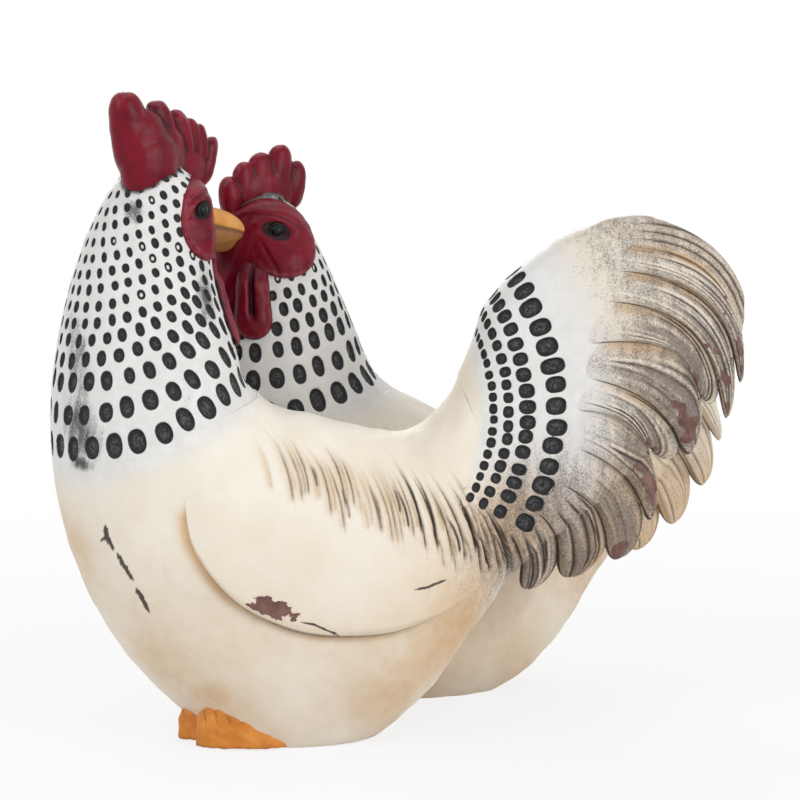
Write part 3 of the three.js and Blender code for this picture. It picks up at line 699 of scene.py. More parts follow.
def casting_marks(p, layer, noise, colour):
    """Dark knife lines, black dots with worn grey or bare middles, and chips down to the primer."""
    brush, grain = noise["brush"], noise["grain"]
    thin = p.sum((layer["line"], 1.0), (grain, -0.3))
    colour = p.mix(p.ramp(thin, -0.05, 0.6, 0, 0.94), colour, (0.040, 0.028, 0.021))
    edge = p.sum((layer["dot"], 1.0), (p.math("SUBTRACT", brush, 0.5), 0.5))
    in_dot = p.ramp(edge, -0.12, 0.16)
    rub_and_highlight = p.math("MULTIPLY", p.ramp(layer["dot"], 0.7, 2.3, 0.12, 1.0), p.ramp(grain, 0.38, 0.72))
    black = p.mix(rub_and_highlight, (0.009, 0.009, 0.011), (0.115, 0.112, 0.113))
    colour = p.mix(in_dot, colour, black)
    colour = p.mix(p.ramp(layer["speck"], -0.1, 0.15, 0, 0.95), colour, (0.78, 0.77, 0.74))
    torn = p.sum((layer["chip"], 1.0), (p.math("SUBTRACT", grain, 0.5), 1.6))
    bare = p.ramp(torn, -0.05, 0.08)
    primer = p.mix(p.ramp(brush, 0.3, 0.7), (0.135, 0.058, 0.048), (0.215, 0.115, 0.10))
    return p.mix(bare, colour, primer), in_dot, bare


def casting_paint():
    """Ivory, white and smoke paint brushed over the casting, with black carved dots and bare chips."""
    p = Paint("painted_casting")
    noise = {"broad": p.noise(26, 2.0), "brush": p.noise(5, 3.0, 0.6), "grain": p.noise(1.1, 4.0, 0.65),
             "speckle": p.noise(0.62, 2.0, 0.7), "streak": p.noise(3.2, 3.0, 0.6, (1.0, 1.0, 0.22))}
    layer = {name: p.attribute(name) for name in LAYERS}
    colour = casting_smoke_and_shade(p, layer, noise, casting_ground(p, layer, noise))
    colour, in_dot, bare = casting_marks(p, layer, noise, colour)
    brush, grain = noise["brush"], noise["grain"]
    rough = p.sum((p.ramp(brush, 0.3, 0.7, 0.40, 0.54), 1.0), (in_dot, 0.16))
    height = p.sum((brush, 0.5), (grain, 0.3), (p.math("MULTIPLY", grain, in_dot), 0.7), (bare, -0.6))
    return p.finish(colour, rough, p.bump(height, 0.32, 0.8), 0.3)


def crimson_paint():
    """Crimson brushed over, with painted shade darkening the folds and a paler painted highlight on the
    ridges.
    """
    p = Paint("crimson_satin")
    broad = p.noise(9, 2.0)
    brush = p.noise(2.6, 3.0, 0.6)
    grain = p.noise(0.8, 3.0, 0.6)
    colour = p.mix(p.ramp(broad, 0.32, 0.7), (0.185, 0.004, 0.016), (0.118, 0.003, 0.012))
    colour = p.mix(p.ramp(brush, 0.56, 0.8, 0, 0.4), colour, (0.27, 0.020, 0.036))
    # Painted highlight: paler crimson laid on the ridges
    rub_and_highlight = p.math("MULTIPLY", p.attribute("ridge_highlight"), p.ramp(brush, 0.3, 0.65, 0.35, 1.0))
    colour = p.mix(p.ramp(rub_and_highlight, 0.1, 0.9, 0, 0.4), colour, (0.36, 0.10, 0.12))
    # Painted shade: near-black crimson in the folds and hollows
    dark = p.sum((p.attribute("deep"), 1.0), (grain, 0.3))
    colour = p.mix(p.ramp(dark, 0.3, 1.0, 0, 0.95), colour, (0.014, 0.003, 0.006))
    rough = p.ramp(brush, 0.3, 0.7, 0.27, 0.4)
    height = p.sum((brush, 0.7), (grain, 0.25))
    return p.finish(colour, rough, p.bump(height, 0.22, 0.5), 0.17)


def horn_paint(name, light, dark):
    """Ochre or orange paint, with painted shade in dark brown in the grooves and hollows."""
    p = Paint(name)
    broad = p.noise(7, 2.0)
    brush = p.noise(2.4, 3.0, 0.6, (1.0, 1.0, 0.4))
    grain = p.noise(0.7, 3.0, 0.6)
    colour = p.mix(p.ramp(broad, 0.3, 0.7), light, dark)
    colour = p.mix(p.ramp(brush, 0.6, 0.85, 0, 0.5), colour, (0.84, 0.52, 0.18))
    # Painted shade: dark brown in the grooves and hollows
    colour_and_shade = p.sum((p.attribute("deep"), 1.0), (grain, 0.35))
    colour = p.mix(p.ramp(colour_and_shade, 0.32, 1.0, 0, 0.9), colour, (0.13, 0.052, 0.016))
    rough = p.ramp(brush, 0.3, 0.7, 0.38, 0.55)
    height = p.sum((brush, 0.6), (grain, 0.3))
    return p.finish(colour, rough, p.bump(height, 0.3, 0.8), 0.3)


def bead_paint():
    """Near-black glass, with the rim told apart."""
    p = Paint("bead_gloss")
    grain = p.noise(1.2, 2.0)
    ring = p.attribute("deep")
    colour = p.mix(p.ramp(grain, 0.35, 0.7), (0.004, 0.010, 0.008), (0.009, 0.020, 0.015))
    colour = p.mix(p.ramp(ring, 0.4, 0.6), colour, (0.006, 0.005, 0.006))
    rough = p.ramp(grain, 0.3, 0.7, 0.05, 0.11)
    return p.finish(colour, rough, p.bump(grain, 0.03, 0.3), 0.16)


def rubber_paint():
    """Dull dark rubber with fine grain."""
    p = Paint("stopper_rubber")
    grain = p.noise(0.6, 3.0)
    broad = p.noise(6, 2.0)
    colour = p.mix(p.ramp(broad, 0.3, 0.7), (0.030, 0.029, 0.028), (0.055, 0.052, 0.049))
    colour = p.mix(p.ramp(grain, 0.62, 0.8, 0, 0.4), colour, (0.10, 0.096, 0.09))
    return p.finish(colour, p.ramp(grain, 0.3, 0.7, 0.62, 0.8), p.bump(grain, 0.1, 0.7), 0.35)


def pine_paint():
    """Bare pine with its grain along the pin."""
    p = Paint("pine_wood")
    rings = p.noise(2.2, 3.0, 0.6, (1.0, 0.06, 1.0))
    pores = p.noise(0.5, 2.0, 0.6, (1.0, 0.05, 1.0))
    colour = p.mix(p.ramp(rings, 0.35, 0.68), (0.62, 0.42, 0.22), (0.42, 0.24, 0.10))
    colour = p.mix(p.ramp(pores, 0.62, 0.78, 0, 0.6), colour, (0.22, 0.12, 0.05))
    return p.finish(colour, p.ramp(rings, 0.3, 0.7, 0.5, 0.68), p.bump(pores, 0.08, 0.7), 0.35)


CASTING = casting_paint()
CRIMSON = crimson_paint()
OCHRE = horn_paint("ochre_horn", (0.72, 0.34, 0.085), (0.58, 0.25, 0.055))
ORANGE = horn_paint("orange_horn", (0.70, 0.27, 0.042), (0.57, 0.19, 0.025))
BEAD = bead_paint()
RUBBER = rubber_paint()
PINE = pine_paint()


# Dots

def press_dot(coat, picked, centre, along, across, half, power, depth, ring):
    """Presses one flat-bottomed oval into the coat and marks it black."""
    local = coat.points[picked] - centre
    reach = 1.7 * max(half)
    near = np.flatnonzero((np.abs(local) < reach).all(1))
    local = local[near]
    u = np.abs(local @ along) / half[0]
    v = np.abs(local @ across) / half[1]
    d = (u ** power + v ** power) ** (1 / power)
    edge = (1 - d) * min(half)
    where = picked[near]
    coat.raise_to("dot", edge, where)
    coat.depth[where] = np.minimum(coat.depth[where], -depth * smooth(-0.15, 0.75, edge))
    if ring:
        coat.raise_to("speck", (RING_SIZE - d) * min(half), where)


def row_places(line, spacing, before, closed, rng):
    """Even places along a row, set off from the dots of the row before it."""
    steps = np.linalg.norm(np.diff(line, axis=0), axis=1)
    reach = np.concatenate([[0], np.cumsum(steps)])
    count = max(3, int(round(reach[-1] / spacing)))
    best, places = -1.0, None
    phases = np.arange(ROW_PHASES) / ROW_PHASES + rng.random() / ROW_PHASES if closed else [0.5]
    for phase in phases:
        tried = (np.arange(count) + phase) / count * reach[-1]
        centres = np.stack([np.interp(tried, reach, line[:, k]) for k in range(3)], -1)
        if before is None:
            return reach, tried, centres
        gaps = np.linalg.norm(centres[:, None] - before[None], axis=-1).min(1)
        if np.sort(gaps)[: count // 2].mean() > best:
            best, places = np.sort(gaps)[: count // 2].mean(), (reach, tried, centres)
    return places


def place_dots(coat, picked, line, row, half, power, depth, ring_share, rng):
    """Presses a row of dots into the surface."""
    reach, places, centres = row
    spacing = places[1] - places[0]
    for place, centre in zip(places, centres):
        jitter = rng.normal(size=2) * DOT_JITTER * spacing
        sizes = rng.uniform(*DOT_SIZES, 2)
        ring = rng.random() < ring_share(centre)
        k = int(np.clip(np.searchsorted(reach, place), 1, len(line) - 1))
        along = line[k] - line[k - 1]
        along = along / max(np.linalg.norm(along), 1e-6)
        gaps = ((coat.points[picked] - centre) ** 2).sum(1)
        nearest = np.argmin(gaps)
        if gaps[nearest] > DOT_GAP ** 2:
            continue
        across = np.cross(coat.normals[picked[nearest]], along)
        across = across / np.linalg.norm(across)
        centre = centre + along * jitter[0] + across * jitter[1]
        press_dot(coat, picked, centre, along, across, np.array(half) * sizes, power, depth, ring)


def hackle_rows():
    """The rows of neck dots, with small even rows added up to the crown."""
    rows = list(HACKLE_ROWS)
    for _ in range(CROWN_ROWS):
        rows.append((rows[-1][0] + CROWN_RISE,) + CROWN_DOTS)
    return rows


def cape_height(bird, x, z):
    """How high a place lies above the lowest row of neck dots."""
    at, level, slope = bird["cape"]
    middle, spread, dip = bird["cape_dip"]
    bow = np.clip((x - middle) / spread, -1.3, 1.3)
    return z - level - slope * (x - at) - CAPE_LIFT - dip * bow ** 2


def ring_share(bird, rise, centre):
    """How likely a dot is to have a bare middle: seldom, and often beside the face."""
    x, z, reach = bird["rings"]
    beside = hump(math.hypot(centre[0] - x, centre[2] - z), reach) * (centre[1] * bird["side"] > 0)
    return 0.0 if rise < RINGS_FROM else 0.02 + 0.6 * beside


def neck_dots(fan, coat, picked):
    """Rows of dots round the neck, each set off from the row under it."""
    bird = fan.bird
    rng = np.random.default_rng(NECK_SEED)
    angles = np.linspace(bird["crown"][0] + 0.3, bird["neck_to"], 420)
    turns = np.linspace(0, 2 * np.pi, 361)
    grid = fan.point(angles[:, None], turns[None, :])
    height = cape_height(bird, grid[..., 0], grid[..., 2])
    before = None
    for rise, spacing, wide, high in hackle_rows():
        if rise > height.max() - 2:
            break
        at = np.array([np.interp(-rise, -np.maximum.accumulate(height[::-1, k])[::-1], angles)
                       for k in range(len(turns))])
        line = fan.point(at, turns)
        row = row_places(line, spacing, before, True, rng)
        before = row[2]
        place_dots(coat, picked, line, row, (wide, high), HACKLE_POWER, 0.5 + 0.17 * wide,
                   lambda centre: ring_share(bird, rise, centre), rng)


def collar_dots(fan, coat, picked):
    """Rows of dots round the root of the tail, over its front rim and down the far side."""
    bird = fan.bird
    rng = np.random.default_rng(COLLAR_SEED)
    cx, cz = bird["collar"]
    for radius, spacing, half in bird["collar_rows"]:
        sweep = np.radians(np.linspace(bird["collar_low"], 60, 500))
        x, z = cx + radius * np.cos(sweep), cz + radius * np.sin(sweep)
        width, _, c = fan.width(x, z)
        stop = np.flatnonzero((c <= -0.999) & (np.degrees(sweep) > 0))
        stop = stop[0] if len(stop) else len(x)
        near = np.stack([x[:stop], -width[:stop], z[:stop]], -1)
        far = near[::-1] * np.array([1, -1, 1])
        line = np.concatenate([near, far])
        row = row_places(line, spacing, None, False, rng)
        place_dots(coat, picked, line, row, (0.45 * spacing, 1.04 * half), COLLAR_POWER,
                   0.5 + 0.16 * half, lambda centre: 0.0, rng)


# Carving and washes

def carve_line(coat, side_points, line, depth, width, dark, lip, fade):
    """A knife line: a groove painted dark, one lifted side, and painted shade in tan on the other side."""
    line = np.asarray(line)
    low, high = line.min(0) - LINE_REACH, line.max(0) + LINE_REACH
    near = np.flatnonzero(((side_points > low) & (side_points < high)).all(1))
    if not len(near):
        return
    distance, along, side = track(side_points[near], line)
    strength = smooth(0, fade[0], along) * (1 - smooth(1 - fade[1], 1, along) * 0.8)
    coat.depth[near] -= depth * strength * hump(distance, width)
    ends = (along > 0.001) & (along < 0.999)
    raised = lip * strength * np.exp(-distance / LIP_SPREAD) * (1 - hump(distance, width)) * ends
    coat.depth[near] += np.where(side > 0, raised, 0)
    thick = 1.15 * width * (0.55 + 0.45 * strength)
    coat.raise_to("line", dark * strength * np.clip(1.2 - distance / thick, 0, 1), near)
    # Painted shade: tan beside the groove, on the side without the lip
    coat.raise_to("tan", 0.6 * strength * hump(distance, SHADE_SPREAD) * (side <= 0), near)


def saddle_lines(bird):
    """Side-view lines of the saddle feathers, closer and longer towards the tail."""
    rng = np.random.default_rng(SADDLE_SEED + len(bird["name"]))
    start, end, first, last = (np.array(p, float) for p in bird["saddle"])
    lines = []
    for k in range(SADDLE_LINES):
        t = (k / (SADDLE_LINES - 1)) ** 0.85
        root = start + (end - start) * t + rng.normal(size=2) * np.array([1.0, 1.6])
        reach = (first + (last - first) * t) * rng.uniform(0.7, 1.08)
        if k % 3 == 1:
            root = root + reach * rng.uniform(0.3, 0.55) + np.array([2.0, 0.0])
            reach = reach * rng.uniform(0.4, 0.6)
        tip = root + reach
        bend = (root + tip) / 2 + np.array([0.2, 0.13]) * np.abs(reach[1])
        lines.append((bezier((root, bend, tip), np.linspace(0, 1, 9)), t, rng.uniform(0.2, 1.0)))
    return lines


def carve_saddle(coat, bird):
    """Saddle feathers, deeper where they end over the tail."""
    side_points = coat.side_view()
    for line, t, strength in saddle_lines(bird):
        dark = 0.1 + (0.35 + 0.5 * t) * strength + 0.1 * t
        covert = 1 + 0.8 * smooth(0.7, 0.95, t)
        depth, lip = (0.3 + 0.5 * strength) * covert, (0.5 + 0.6 * strength) * covert
        carve_line(coat, side_points, line, depth, 0.34 + 0.2 * strength, dark, lip, (0.6, 0.14))


def scoops(points, seed, size, depth):
    """Shallow knife facets: each point falls away from the nearest of many scattered centres."""
    rng = np.random.default_rng(seed)
    low, high = points.min(0), points.max(0)
    centres = points[rng.integers(0, len(points), int(np.prod((high - low) / size) ** (2 / 3) * 0.9))]
    best = np.full(len(points), 1e9)
    for centre in centres:
        best = np.minimum(best, ((points - centre) ** 2).sum(1))
    return depth * np.minimum(best / size ** 2, 1.2)


def crack(coat, side_points, line, width):
    """A fine ragged split in the paint."""
    distance, along, _ = track(side_points, line)
    ragged = 0.92 + 0.2 * waves(side_points, 3.5, 43) + 0.16 * waves(side_points, 1.4, 45)
    edge = width * np.minimum(1, 6 * np.minimum(along, 1 - along)) * ragged - distance
    coat.raise_to("line", smooth(-0.5, 0.3, edge))
    coat.depth -= 0.5 * smooth(-0.3, 0.3, edge)


def chip_patch(coat, side_points, centre, half, tilt, seed):
    """A patch of bare primer with a torn edge."""
    u, v = turned(side_points[:, 0] - centre[0], side_points[:, 1] - centre[1], tilt)
    d = np.hypot(u / half[0], v / half[1]) + 0.14 * waves(side_points, 5.5, seed)
    d = d + 0.07 * waves(side_points, 1.8, seed + 1)
    edge = (1 - d) * min(half)
    coat.raise_to("chip", edge)
    coat.depth -= 0.35 * smooth(-0.2, 0.4, edge)


def flank_view(coat, flank):
    """Side-view places, with all but one flank moved far away."""
    return coat.side_view() + np.where(flank, 0.0, FAR_AWAY)[:, None]


def wear(bird, coat, flank):
    """The chip and cracks of the rooster's outer flank."""
    if bird["name"] != "rooster":
        return
    side_points = flank_view(coat, flank)
    chip_patch(coat, side_points, **WING_CHIP)
    for line, width in CRACKS:
        crack(coat, side_points, line, width)


def round_comb(head, points):
    """About how far a point of the crown is from the comb's base."""
    s, l, z = head.local(points)
    nearest = np.full(len(points), 99.0)
    for at, aside, lift, half in head.fan.bird["comb_base"]:
        q = np.hypot((s - at) / half[0], (l - aside) / half[1])
        q = np.hypot(q, (z - head.crown - lift) / half[2])
        nearest = np.minimum(nearest, (q - 1) * half[1])
    return nearest


def wash_tail(bird, coat, angle):
    """The white collar, smoke behind it, and tan under it and where the saddle ends."""
    x, z = coat.side_view().T
    cx, cz = bird["collar"]
    out = np.hypot(x - cx, z - cz)
    inner, outer = bird["collar_white"]
    start, smoke = bird["tail_from"], bird["smoke"]
    on_tail = smooth(start - 14, start - 4, angle)
    band = smooth(inner - 5, inner + 1, out) * (1 - 0.85 * smooth(outer, outer + 8 + 20 * smoke, out))
    covert = np.array(bird["saddle"][1]) + np.array([16, -21])
    near_covert = hump(x - covert[0], 22) * hump(z - covert[1], 20)
    coat.raise_to("white", 0.85 * band * on_tail * (1 - near_covert))
    coat.raise_to("tan", 0.8 * near_covert)
    coat.raise_to("smoke", 0.2 * smoke * near_covert)
    past = smooth(outer, outer + 36, out) * on_tail
    coat.raise_to("smoke", smoke * (0.46 * past + 0.05 * on_tail * smooth(inner, outer, out)))
    low = smooth(start - 22, start - 2, angle) * smooth(-0.2, 0.7, -(z - cz) / 55)
    coat.raise_to("smoke", smoke * low * smooth(48, 74, out) * 0.6)
    coat.raise_to("tan", 0.75 * low * smooth(40, 70, out))


def wash_body(fan, coat, angle, radius):
    """Painted shade in tan just above the toes, and tan towards the rump and in blotches under the body."""
    bird = fan.bird
    x, z = coat.side_view().T
    # Painted shade in tan on the body just above the toes
    foot = np.hypot(x - bird["toes"][0][0] - 6, z - 20)
    coat.raise_to("tan", 0.75 * hump(foot, 13))
    blotch = 0.5 + 0.35 * waves(coat.points, 46, 7)
    middle, reach, _, _ = fan.section(angle)
    under = smooth(0.25, 0.95, (radius - middle) / np.maximum(reach, 1e-6))
    warm = 0.36 * smooth(-115, -48, -z) + 0.16 * smooth(-45, 40, x - bird["pivot"][0])
    coat.raise_to("tan", np.clip(warm * (0.75 + 0.5 * blotch) + 0.2 * under * blotch, 0, 1))


def wash_neck(fan, coat, angle):
    """The white hackle, with soot in streaks and in smears on the outer side, and painted shade round the
    comb's base.
    """
    bird, points = fan.bird, coat.points
    x, z = coat.side_view().T
    above = cape_height(bird, x, z)
    coat.raise_to("white", smooth(-24, 1, above) * (angle < bird["white_to"] + 12))
    soot = smooth(0.5, 1.6, waves(points * np.array([1, 1, 0.45]), 30, 17 + len(bird["name"])))
    coat.raise_to("soot_and_shade", 0.34 * soot * smooth(-9, 0, above) * (angle < bird["white_to"]))
    for sx, sz, half, tall, share in bird["soot"]:
        smear = hump(x - sx + 0.12 * (z - sz), half) * hump(z - sz, tall)
        coat.raise_to("soot_and_shade", share * smear * (points[:, 1] * bird["side"] > 0) * (angle < 250))
    # Painted shade in near black round the base of the comb
    crown = (1 - smooth(0, bird["comb_shade_reach"], round_comb(Head(fan), points))) * (angle < 200)
    coat.raise_to("soot_and_shade", 0.95 * crown)


def colour_and_shade(fan, coat):
    """Broad colour by place, with painted shade in some of it."""
    angle, radius = fan.polar(*coat.side_view().T)
    wash_tail(fan.bird, coat, angle)
    wash_body(fan, coat, angle, radius)
    wash_neck(fan, coat, angle)


def skin_turns(bird):
    """Places round a section, closer together on the outer flank under the saddle."""
    even = np.linspace(0, 2 * np.pi, 721)
    middle = SADDLE_TURN if bird["side"] > 0 else 2 * np.pi - SADDLE_TURN
    crowd = np.cumsum(1 + SADDLE_CROWD * hump(even - middle, 0.55))
    share = (crowd - crowd[0]) / (crowd[-1] - crowd[0])
    return np.interp(np.arange(AROUND) / AROUND, share, even)


def knife_work(bird, coat, angle):
    """Facets over the body, the saddle feathers, and lines along the top of the tail."""
    on_body = smooth(216, 228, angle) * (1 - smooth(bird["tail_from"] - 8, bird["tail_from"] + 6, angle))
    coat.depth -= on_body * scoops(coat.points, 5, 22, 0.95)
    coat.depth += 0.12 * waves(coat.points, 13, 3) * on_body
    carve_saddle(coat, bird)
    side_points = coat.side_view()
    for k in range(1, CREST_LINES + 1):
        shift = np.array([(0.4 * k, 2.6 * k), (1.6 * k, 2.8 * k), (1.3 * k, 1.2 * k)])
        line = bezier(np.array(bird["plumes"][0]) + shift, np.linspace(0, 1, 14))
        carve_line(coat, side_points, line, 0.5, 0.5, 0.5 * bird["smoke"] + 0.2, 0.5, (0.3, 0.2))


def wing_fold(bird, coat, flank):
    """The hollow along the wing's lower edge, with painted shade in tan and a dark line under the edge."""
    lower = spline(bird["wing_lower"], np.linspace(0, 1, 60))
    distance, along, _ = track(flank_view(coat, flank), lower)
    fold = smooth(0, 0.06, along) * (1 - smooth(0.95, 1, along))
    coat.depth -= 1.1 * fold * smooth(-0.15, 0.4, along) * hump(distance, 3.0)
    front = 1 - 0.6 * smooth(0.1, 0.45, along)
    # Painted shadow: tan under the wing's edge, wider towards the front
    coat.raise_to("tan", fold * (0.7 * hump(distance, 3.0) + 0.36 * front * hump(distance, 9)))
    coat.raise_to("line", 0.5 * smooth(0, 0.4, along) * fold * hump(distance, 0.9))


def skin_dots(fan, coat, angle):
    neck = np.flatnonzero(angle < fan.bird["neck_to"])
    if len(neck):
        neck_dots(fan, coat, neck)
    tail = np.flatnonzero(angle > fan.bird["tail_from"] - 30)
    if len(tail):
        collar_dots(fan, coat, tail)


def seat_parts(fan, coat, angle):
    """Evens the skin out where the face, the comb and the other bird touch it, and seats the face."""
    bird, head = fan.bird, Head(fan)
    s, l, z = head.local(coat.points)
    rim = np.where(angle < 205, face_edge(bird, np.arctan2(l, s), s, z), -9.0)
    coat.depth *= 1 - smooth(-2.6, -0.4, rim)
    coat.depth *= smooth(0.6, 3.2, round_comb(head, coat.points))
    coat.depth -= FACE_SEAT * smooth(1.2, 3.2, rim)
    coat.depth *= 1 - smooth(PRESS_FROM - 2, PRESS_FROM + 2, -bird["side"] * coat.points[:, 1])


def skin_coat(fan, angles):
    """One stretch of a bird's skin with all its carving and paint."""
    bird = fan.bird
    grid = fan.point(angles[:, None], skin_turns(bird)[None, :])
    coat = Coat(grid.reshape(-1, 3), grid_normals(grid, True).reshape(-1, 3))
    angle, _ = fan.polar(*coat.side_view().T)
    flank = coat.points[:, 1] * bird["side"] > 0
    colour_and_shade(fan, coat)
    knife_work(bird, coat, angle)
    wing_fold(bird, coat, flank)
    wear(bird, coat, flank)
    coat.depth = np.maximum(coat.depth, -GROOVE_LIMIT)
    skin_dots(fan, coat, angle)
    seat_parts(fan, coat, angle)
    return coat


def tube_faces(rows, columns):
    """Faces of a grid whose last column meets its first."""
    index = np.arange(rows * columns).reshape(rows, columns)
    return quads(np.concatenate([index, index[:, :1]], 1))


def end_angles(first, last, step, round_first=None, round_last=None):
    """Even steps, closed in towards a rounded end."""
    close = 1 - np.cos(np.linspace(0.05, np.pi / 2, END_ROWS))[:-1]
    parts = [[first], np.arange(first, last, step)[1:-1], [last]]
    if round_first:
        parts.insert(0, round_first + (first - round_first) * close)
    if round_last:
        parts.append((round_last + (last - round_last) * close)[::-1])
    return np.concatenate(parts)


def skin_piece(fan, part, angles, planes):
    """A casting from one stretch of skin, cut with planes."""
    bird = fan.bird
    coat = skin_coat(fan, angles)
    faces = tube_faces(len(angles), AROUND)
    name = bird["name"] + "_" + part + "_casting"
    piece = make_piece(name, stand_in(bird, coat.carved()), faces, CASTING, coat.layers)
    cut_piece(piece, planes)
    return piece


def make_trunk(fan):
    """The neck, body and tail castings, cut where they meet."""
    bird = fan.bird
    at, level, slope = bird["cape"]
    seat = (at, 0, level)
    neck_angles = end_angles(bird["rows"][0][0], bird["neck_to"], NECK_STEP, bird["crown"][0])
    neck = skin_piece(fan, "neck", neck_angles, [(seat, (-slope, 0, 1))])
    settle(neck, bird["name"] + "_neck")
    breast = end_angles(bird["body_from"], bird["saddle_from"], BREAST_STEP)
    rump = end_angles(bird["saddle_from"], bird["tail_from"], RUMP_STEP)
    planes = [(seat, (slope, 0, -1)), ((0, 0, 0), (0, 0, 1))]
    body = skin_piece(fan, "body", np.concatenate([breast, rump[1:]]), planes)
    bore_hole(body, bird)
    settle(body, bird["name"] + "_body")
    tail_angles = end_angles(bird["tail_from"], bird["rows"][-1][0], TAIL_STEP, None, bird["tail_top"][0])
    tail = skin_piece(fan, "tail", tail_angles, [])
    settle(tail, bird["name"] + "_tail")


def bore_hole(body, bird):
    """The pour hole under the body, with the plug's seat above it."""
    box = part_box(bird["name"] + "_plug")
    centre = (Vector(box[0]) + Vector(box[1])) / 2
    bm = bmesh.new()
    bmesh.ops.create_cone(bm, cap_ends=True, segments=64, radius1=PLUG_HOLE * MM, radius2=PLUG_HOLE * MM,
                          depth=2 * (PLUG_HEIGHT + PLUG_ROOM) * MM)
    bmesh.ops.translate(bm, verts=bm.verts, vec=(centre.x, centre.y, 0))
    mesh = bpy.data.meshes.new("cutter")
    bm.to_mesh(mesh)
    bm.free()
    cutter = add_object("cutter", mesh)
    cut = body.modifiers.new("hole", "BOOLEAN")
    cut.operation = "DIFFERENCE"
    cut.solver = "EXACT"
    cut.object = cutter
    baked(body)
    bpy.data.objects.remove(cutter)


# Wing and plumes

def outward_coat(grid, side):
    """A coat over an open grid, with its normals turned to one side."""
    normals = grid_normals(grid, False).reshape(-1, 3)
    normals *= np.where(normals[:, 1:2] * side < 0, -1.0, 1.0)
    return Coat(grid.reshape(-1, 3), normals)


def make_wing(fan):
    """A folded wing laid on the outer flank, with its lower edge standing out."""
    bird, side = fan.bird, fan.bird["side"]
    u = np.linspace(0, 1, 300)
    v = np.concatenate([np.linspace(0, 0.1, 16)[:-1], np.linspace(0.1, 1, 92)])
    lower, upper = spline(bird["wing_lower"], u), spline(bird["wing_upper"], u)
    plan = lower[:, None] * (1 - v[:, None]) + upper[:, None] * v[:, None]
    x, z = plan[..., 0], plan[..., 1]
    width, _, _ = fan.width(x, z)
    lip = round_edge(v / WING_LIP)[None, :]
    ends = smooth(0.02, 0.3, u) * (1 - smooth(0.93, 1, u) * 0.9)
    rise = (lip * WING_RISE * (1 - v[None, :]) ** 1.1 * ends[:, None]) - 0.9 * smooth(0.5, 1, v)[None, :]
    rise = rise - 0.8 * (1 - ends[:, None]) - 0.5 * (1 - lip)
    outer = np.stack([x, side * (width + rise), z], -1)
    inner = np.stack([x, side * np.maximum(width - WING_SUNK, 0.5), z], -1)
    coat = outward_coat(outer, side)
    paint_wing(fan, coat, ends, v)
    outer = coat.carved().reshape(outer.shape)
    shell_piece(bird, "wing", outer, inner, CASTING, coat.layers)


def paint_wing(fan, coat, ends, v):
    """Saddle feathers that run on from the body, facets, and painted shade in tan and dark along the lower
    edge.
    """
    vv = np.tile(v, len(ends))
    edge = 40 * vv
    colour_and_shade(fan, coat)
    carve_saddle(coat, fan.bird)
    coat.depth -= scoops(coat.points, 9, 20, 0.7)
    # Painted shade along the wing's lower edge, in tan and dark
    coat.raise_to("tan", 0.5 * hump(edge, 2.0))
    coat.raise_to("line", 0.62 * hump(edge, 0.55) * np.repeat(ends, len(v)))
    wear(fan.bird, coat, np.ones(len(coat.points), bool))
    coat.depth *= np.minimum(1, vv / 0.03)


def tip_share(u):
    """How far along its rounded tip each place of a plume is."""
    return np.clip((u - TIP_FROM) / (1 - TIP_FROM), 0, 1)


def plume_plan(bird, number, u, v):
    """Where a plume's grid lies in side view, rounded off at its tip."""
    lower = bezier(bird["plumes"][number], u)
    upper = bezier(bird["plumes"][number - 1], u)
    kept = np.sqrt(1 - (0.985 * tip_share(u)) ** 2.2)
    share = TIP_AT + (v[None, :] * 1.05 - TIP_AT) * kept[:, None]
    plan = lower[:, None] * (1 - share[..., None]) + upper[:, None] * share[..., None]
    across = upper[-1] - lower[-1]
    outward = np.array([across[1], -across[0]]) * TIP_BULGE
    bulge = smooth(0.5, 1, u)[:, None] * np.sin(np.pi * np.clip(share, 0, 1))
    return plan + bulge[..., None] * outward


def make_plume(fan, number, side, label):
    """A tail feather that stands out along its lower edge and is sunk in the tail."""
    bird = fan.bird
    u = np.concatenate([np.linspace(PLUME_ROOT, TIP_FROM, 84)[:-1],
                        TIP_FROM + (1 - TIP_FROM) * np.sin(np.linspace(0, np.pi / 2, 24))])
    v = np.concatenate([np.linspace(0, PLUME_LIP, 13)[:-1], np.linspace(PLUME_LIP, 1, 28)])
    plan = plume_plan(bird, number, u, v)
    x, z = plan[..., 0], plan[..., 1]
    width, _, _ = fan.width(x, z)
    lip = round_edge(v / PLUME_LIP)[None, :]
    swell = smooth(0.0, 0.42, u)[:, None]
    tip = np.sqrt(1 - (0.96 * tip_share(u)) ** 2.6)[:, None]
    slope = 1 - 0.9 * smooth(0.2, 1, v)[None, :]
    rise = lip * (PLUME_BASE + PLUME_RISE * slope) * swell * tip + (0.25 - 0.85 * (1 - swell))
    y = np.maximum(width + rise, 0.5)
    floor = np.minimum(np.maximum(width - PLUME_SUNK, 0.15), y - 0.3)
    outer = np.stack([x, side * y, z], -1)
    inner = np.stack([x, side * floor, z], -1)
    coat = outward_coat(outer, side)
    rng = np.random.default_rng(100 * number + PLUME_SEEDS[side] + len(bird["name"]))
    paint_plume(fan, coat, number, u, v, rng)
    outer = coat.carved().reshape(outer.shape)
    outer[..., 1] = side * np.maximum(np.abs(outer[..., 1]), np.abs(inner[..., 1]) + 0.2)
    shell_piece(bird, "plume_" + label + "_" + str(number), outer, inner, CASTING, coat.layers)


